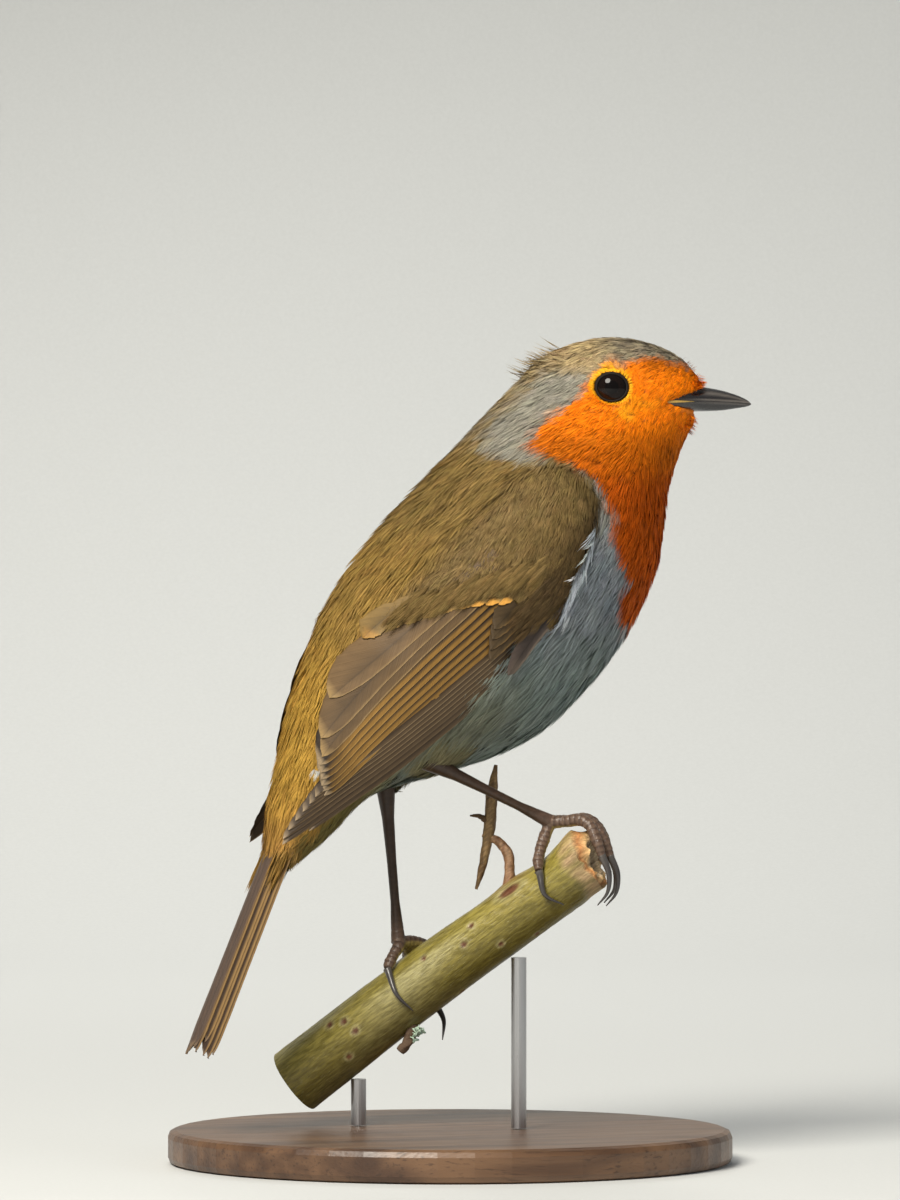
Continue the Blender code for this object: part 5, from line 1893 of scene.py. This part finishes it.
def bark_finish():
    bark = Finish("green_bark", Roughness=0.5)
    # the grain runs along the branch, so the pattern is turned to lie along it
    place = bark.place()
    spots = []
    for axis, stretch in ((ALONG_BRANCH, 0.16), (UP_BRANCH, 1.0), (SIDE_BRANCH, 1.0)):
        part = bark.node("VectorMath", {"operation": "DOT_PRODUCT"}, 1, (place, tuple(axis)))
        spots.append(part * (stretch / MM))
    grain = bark.node("CombineXYZ", values=spots)
    thread = bark.node("TexNoise", Vector=grain, Scale=2.6, Detail=4.0, Roughness=0.6)
    fleck = bark.node("TexNoise", Vector=grain, Scale=7.0, Detail=2.0)
    change = bark.mix(thread.step(0.34, 0.68), (0.66, 0.64, 0.55), (1.28, 1.27, 1.25))
    colour = bark.mix(1.0, bark.attribute("plumage"), change, "MULTIPLY")
    bark.set("Base Color", bark.mix(fleck.step(0.62, 0.75) * 0.35, colour, (0.40, 0.38, 0.22)))
    bark.set("Roughness", bark.attribute("wood", "Fac") * 0.35 + (thread * 0.25 + 0.19))
    bark.bump(thread * 0.7 + fleck * 0.3, 0.16)
    return bark.material


def make_branch_piece():
    form = Form()
    points, colours, bare = branch_bark()
    form.add(points, colours, tube_faces(BRANCH_RINGS, BRANCH_SIDES))
    form.close(0, broken_rings(), BRANCH_SIDES)
    form.close((BRANCH_RINGS - 1) * BRANCH_SIDES, sawn_rings(), BRANCH_SIDES)
    wood = [0.9 * bare, np.ones(len(form.points) - len(bare))]
    for path, radii, seed, tone, pale in BRANCH_LIMBS:
        limb = tube_points([by_branch(*place) for place in path], radii, TWIG_RINGS, TWIG_SIDES, 0.09, seed)
        share = 0.5 + 0.5 * ripple(limb, (0.5, 0.5, 3.0), 61)
        form.add(limb, blend_to(tone, pale, np.clip(share, 0, 1)), capped_faces(TWIG_RINGS, TWIG_SIDES))
        wood.append(np.full(len(limb), 0.8))
    piece = form.piece("green_branch", bark_finish(), ("perch_branch",), "bark")
    add_values(piece.data, "wood", np.concatenate(wood))
    piece.data.set_sharp_from_angle(angle=math.radians(70))


make_branch_piece()


def make_lichen():
    """A scrap of pale lichen with curled lobes, on a broken stub under the branch."""
    random = np.random.default_rng(8)
    form = Form()
    stub = tube_points([by_branch(*place) for place in STUB], STUB_RADII, STUB_RINGS, STUB_SIDES, 0.14, 71)
    form.add(stub, STUB_BROWN, capped_faces(STUB_RINGS, STUB_SIDES))
    around = np.arange(LOBE_SIDES) * 2 * math.pi / LOBE_SIDES
    for lobe in range(LICHEN_LOBES):
        shift = (random.uniform(-1.6, 1.0), random.uniform(-0.5, 0.5), random.uniform(-0.6, 0.8))
        middle = by_branch(*np.add(LICHEN_MIDDLE, shift))
        out = unit(random.normal(size=3) + SIDE_BRANCH * 0.8 - UP_BRANCH * 0.4)
        side = unit(np.cross(out, random.normal(size=3)))
        other = np.cross(out, side)
        size = random.uniform(0.4, 0.8)
        frill = 1 + 0.22 * np.sin(around * 5 + lobe)
        spokes = frill[:, None] * (side * np.cos(around)[:, None] + other * np.sin(around)[:, None])
        starts = []
        for layer in (0.10, -0.10):
            for share in (1.0, 0.55):
                curl = 0.35 * share**2 * np.sin(around * 3 + lobe)
                ring = middle + share * size * spokes + out * (curl + layer)[:, None]
                starts.append(form.add(ring, np.array(LICHEN) * (0.75 + 0.35 * share)))
        rim, mid, low_rim, low_mid = starts
        form.faces += ring_faces(rim, mid, LOBE_SIDES)
        for low, high in ((low_rim, low_mid), (rim, low_rim)):
            form.faces += [face[:1] + face[:0:-1] for face in ring_faces(low, high, LOBE_SIDES)]
        form.faces += [cap_face(mid, LOBE_SIDES), cap_face(low_mid, LOBE_SIDES)[::-1]]
    crust = Finish("lichen", Roughness=0.85)
    grain = crust.noise(0.25, 3.0)
    crust.mottle(grain, 0.6, 1.35)
    crust.bump(grain, 0.15)
    form.piece("lichen_scrap", crust.material, (), "bark")


make_lichen()

# ---------------------------------------------------------------------------------------------------------
# The legs: slender dark shanks in long smooth plates, with scaly toes that have pale padded soles, and curved
# claws of grey horn that grip the branch.
ANKLES = {"left": (-7.9, 9.0, 60.8), "right": (-6.0, -9.3, 65.5)}
FOOT_JOINTS = {"left": (-34.2, 7.6, 0.4), "right": (-1.7, 9.2, 0.3)}
SHANK_RADII = (1.8, 1.02, 0.80, 0.75, 1.22)
TOE_RADII = (1.12, 0.98, 1.02, 0.90, 0.95, 0.70)
CLAW_RADII = (0.74, 0.64, 0.48, 0.30, 0.09)
LEG_IN_THIGH = 2.0
LEG_VOXEL = 0.13
LEG_ROUNDS = 4
SHANK_RINGS = 90
TOE_RINGS = 70
LIMB_SIDES = 20
# length of a plate on the shank and of a scale on a toe
SHANK_PLATE = 3.6
TOE_SCALE = 0.95
CLAW_RINGS = 44
CLAW_SIDES = 18
GRIPPING = {
    # for each toe the points of its path, then of its claw's: along the branch, degrees round it, height
    "left": {
        "hind": (
            ((-34.2, 10, 2.0), (-36.0, 26, 1.4), (-37.3, 40, 1.15)),
            ((-37.4, 47, 0.85), (-38.0, 86, 0.8), (-37.7, 125, 0.4)),
        ),
        "inner": (
            ((-32.8, -18, 1.8), (-31.2, -56, 1.3), (-30.6, -94, 1.15)),
            ((-30.6, -101, 0.9), (-30.8, -126, 0.85), (-31.3, -150, 0.4)),
        ),
        "middle": (
            ((-33.5, -18, 1.8), (-34.6, -72, 1.3), (-36.1, -124, 1.15)),
            ((-36.3, -131, 1.0), (-36.5, -152, 2.4), (-38.0, -170, 4.2)),
        ),
        "outer": (
            ((-34.0, -18, 1.8), (-36.8, -56, 1.3), (-38.4, -92, 1.15)),
            ((-38.5, -99, 0.9), (-38.8, -124, 0.85), (-39.3, -147, 0.4)),
        ),
    },
    "right": {
        "hind": (
            ((-3.8, 9, 2.9), (-5.9, 32, 1.5), (-6.9, 56, 1.15)),
            ((-7.1, 63, 0.9), (-8.2, 96, 0.85), (-7.0, 132, 0.4)),
        ),
    },
}
# the right foot's other toes hang over the broken end; each has its own shift (along, up, side)
HANGING_TOE = ((0.4, 7.9), (3.0, 6.3), (3.9, 4.2), (3.6, 1.4))
HANGING_TOE_TIP = (3.0, -1.0)
HANGING_CLAW = ((2.95, -1.3), (2.3, -4.0), (0.4, -6.3), (-2.3, -7.2))
HANGING = {"inner": (-0.7, 0.9, -3.2), "middle": (0.0, 0.0, -0.2), "outer": (-0.4, 0.6, 2.8)}
SHANK_BROWN = (0.040, 0.021, 0.011)
TOE_BROWN = (0.085, 0.050, 0.034)
SCALE_PALE = (0.17, 0.11, 0.07)
SOLE = (0.34, 0.26, 0.09)
CLAW_GREY = (0.045, 0.040, 0.038)
CLAW_PALE = (0.15, 0.13, 0.11)


def toe_paths(side):
    """For each toe, the points of its path and of its claw's."""
    joint = by_branch(*FOOT_JOINTS[side])
    paths = {}
    for name, (toe, claw) in GRIPPING[side].items():
        paths[name] = ([joint] + [round_branch(*p) for p in toe], [round_branch(*p) for p in claw])
    if side == "right":
        count = len(HANGING_TOE)
        for name, (ahead, above, across) in HANGING.items():
            toe = [joint]
            for number, (along, up) in enumerate(HANGING_TOE):
                share = number / count
                toe.append(by_branch(along + ahead * share, up + above * share, across * (share + 1 / count)))
            ends = (HANGING_TOE_TIP, *HANGING_CLAW)
            tip, *claw = (by_branch(along + ahead, up + above, across) for along, up in ends)
            paths[name] = (toe + [tip], claw)
    return paths


def leg_scales(paths, spots, outs):
    """The height and colour of the scales: rings across the top of the toes over pale soles, and long plates
    on the shank. The nearest limb of each point gives its scales."""
    best = np.full(len(spots), 1e9)
    height = np.zeros(len(spots))
    tone = np.zeros((len(spots), 3))
    # the soles face the branch
    centre = np.array(BRANCH_TOP) + ((spots - BRANCH_TOP) @ ALONG_BRANCH)[:, None] * ALONG_BRANCH
    sole = ease((outs * unit(centre - spots)).sum(1), 0.25, 0.7)
    for number, path in enumerate(paths):
        line = smooth_rows(path, 120)
        reach = np.concatenate([[0], np.cumsum(np.linalg.norm(np.diff(line, axis=0), axis=1))])
        gaps = np.linalg.norm(spots[:, None] - line[None], axis=2)
        close = gaps.min(axis=1) < best
        best = np.minimum(best, gaps.min(axis=1))
        way = reach[gaps.argmin(axis=1)]
        if number == 0:
            step = (way / SHANK_PLATE) % 1.0
            low_end = ease(way, reach[-1] - 5.0, reach[-1] - 1.0)
            ring = np.exp(-((np.minimum(step, 1 - step) / 0.05) ** 2)) * (0.35 + 0.65 * low_end)
            shade = blend_to(SHANK_BROWN, TOE_BROWN, low_end)
            bumps = -0.04 * ring
        else:
            step = (way / TOE_SCALE) % 1.0
            ring = np.exp(-((np.minimum(step, 1 - step) / 0.13) ** 2))
            shade = blend_to(TOE_BROWN, SCALE_PALE, 0.55 * (1 - ring) * ease(step, 0.1, 0.9))
            # darker in the grooves between the scales: painted shade
            shade = blend_to(shade, SOLE, sole) * (1 - 0.25 * ring)[:, None]
            bumps = -0.06 * ring * (1 - 0.4 * sole) + 0.04 * ripple(spots, 0.45, 78)
        height = np.where(close, bumps, height)
        tone = np.where(close[:, None], shade, tone)
    return height, tone


def make_leg_piece(side, scale_finish, claw_finish):
    joint = by_branch(*FOOT_JOINTS[side])
    ankle = np.array(ANKLES[side])
    start = ankle - unit(joint - ankle) * LEG_IN_THIGH
    shank = [start + (joint - start) * t for t in np.linspace(0, 1, 5)]
    paths = toe_paths(side)
    limbs = [(shank, SHANK_RADII, SHANK_RINGS)]
    limbs += [(toe, TOE_RADII, TOE_RINGS) for toe, _ in paths.values()]
    form = Form()
    for path, radii, count in limbs:
        form.add(tube_points(path, radii, count, LIMB_SIDES), TOE_BROWN, capped_faces(count, LIMB_SIDES))
    mesh = bpy.data.meshes.new("leg_form")
    mesh.from_pydata((form.points * MM).tolist(), [], form.faces)
    face_outwards(mesh)
    rough = add_thing("leg_form", mesh)
    solid = remeshed(rough, LEG_VOXEL, LEG_ROUNDS)
    bpy.data.objects.remove(rough)
    spots, outs = mesh_arrays(solid)
    height, tone = leg_scales([path for path, _, _ in limbs], spots, outs)
    spots = spots + outs * height[:, None]
    set_points(solid, spots)
    solid.shade_smooth()
    solid.name = "foot_" + side
    solid.materials.clear()
    add_colours(solid, "plumage", tone * np.exp(0.12 * ripple(spots, 0.5, 77))[:, None])
    place_piece("foot_" + side, solid, scale_finish, ("leg_" + side,))
    claws = Form()
    share = np.repeat(np.linspace(0, 1, CLAW_RINGS), CLAW_SIDES)
    tint = blend_to(CLAW_GREY, CLAW_PALE, 0.5 * (1 - ease(share, 0.05, 0.5)))
    for toe, claw in paths.values():
        line = [toe[-1] + (claw[0] - toe[-1]) * 0.2] + list(claw)
        limb = tube_points(line, CLAW_RADII, CLAW_RINGS, CLAW_SIDES)
        claws.add(limb, tint, capped_faces(CLAW_RINGS, CLAW_SIDES))
    nodes = tuple(f"claw_{side}_{name}" for name in paths)
    claws.piece("claws_" + side, claw_finish, nodes, "claw")


def make_legs():
    scales = Finish("leg_scales", Roughness=0.42)
    fine = scales.noise(0.3, 3.0)
    scales.mottle(fine, 0.7, 1.3)
    scales.set("Roughness", fine * 0.25 + 0.3)
    scales.bump(fine, 0.05)
    horn = Finish("claw_horn", Roughness=0.3, Coat_Weight=0.25, Coat_Roughness=0.2)
    grain = horn.noise(0.3, 3.0)
    horn.mottle(grain, 0.7, 1.3)
    horn.set("Roughness", grain * 0.2 + 0.24)
    for side in ("left", "right"):
        make_leg_piece(side, scales.material, horn.material)


make_legs()

# ---------------------------------------------------------------------------------------------------------
# The display stand: a turned disc of oiled walnut, and two brushed steel rods that rise from it to the
# branch. Its solids keep their own shapes.
WALNUT_DARK = (0.055, 0.026, 0.013)
WALNUT = (0.16, 0.085, 0.042)
STEEL = (0.62, 0.62, 0.63)
# how far the walnut's grain sways, in metres
GRAIN_SWAY = (0.004, 0.012, 0.012)


def finish_stand():
    walnut = Finish("oiled_walnut", Roughness=0.4, Coat_Weight=0.15, Coat_Roughness=0.35)
    warp = walnut.noise(28.0, 2.0, (5, 1, 1), output=1)
    swayed = (warp, GRAIN_SWAY, walnut.place())
    place = walnut.node("VectorMath", {"operation": "MULTIPLY_ADD"}, values=swayed)
    bands = walnut.noise(5.5, 3.0, (14, 1, 1), vector=place)
    pores = walnut.noise(0.5, 2.0, (18, 1, 1), vector=place)
    colour = walnut.mix(bands.step(0.3, 0.72), WALNUT_DARK, WALNUT)
    dark = walnut.mix(pores.step(0.55, 0.72) * 0.6, colour, tuple(c * 0.6 for c in WALNUT_DARK))
    walnut.set("Base Color", dark)
    walnut.set("Roughness", pores * 0.2 + 0.32)
    walnut.bump(pores, 0.06)
    steel = Finish("brushed_steel", Roughness=0.3, Metallic=1.0)
    lines = steel.noise(0.25, 2.0, (1, 1, 30))
    steel.set("Base Color", steel.mix(lines, tuple(c * 0.8 for c in STEEL), STEEL))
    steel.set("Roughness", lines * 0.25 + 0.2)
    for node, material in (("stand_base", walnut), ("stand_rod_front", steel), ("stand_rod_back", steel)):
        for slot in bpy.data.objects[node].material_slots:
            slot.material = material.material


finish_stand()
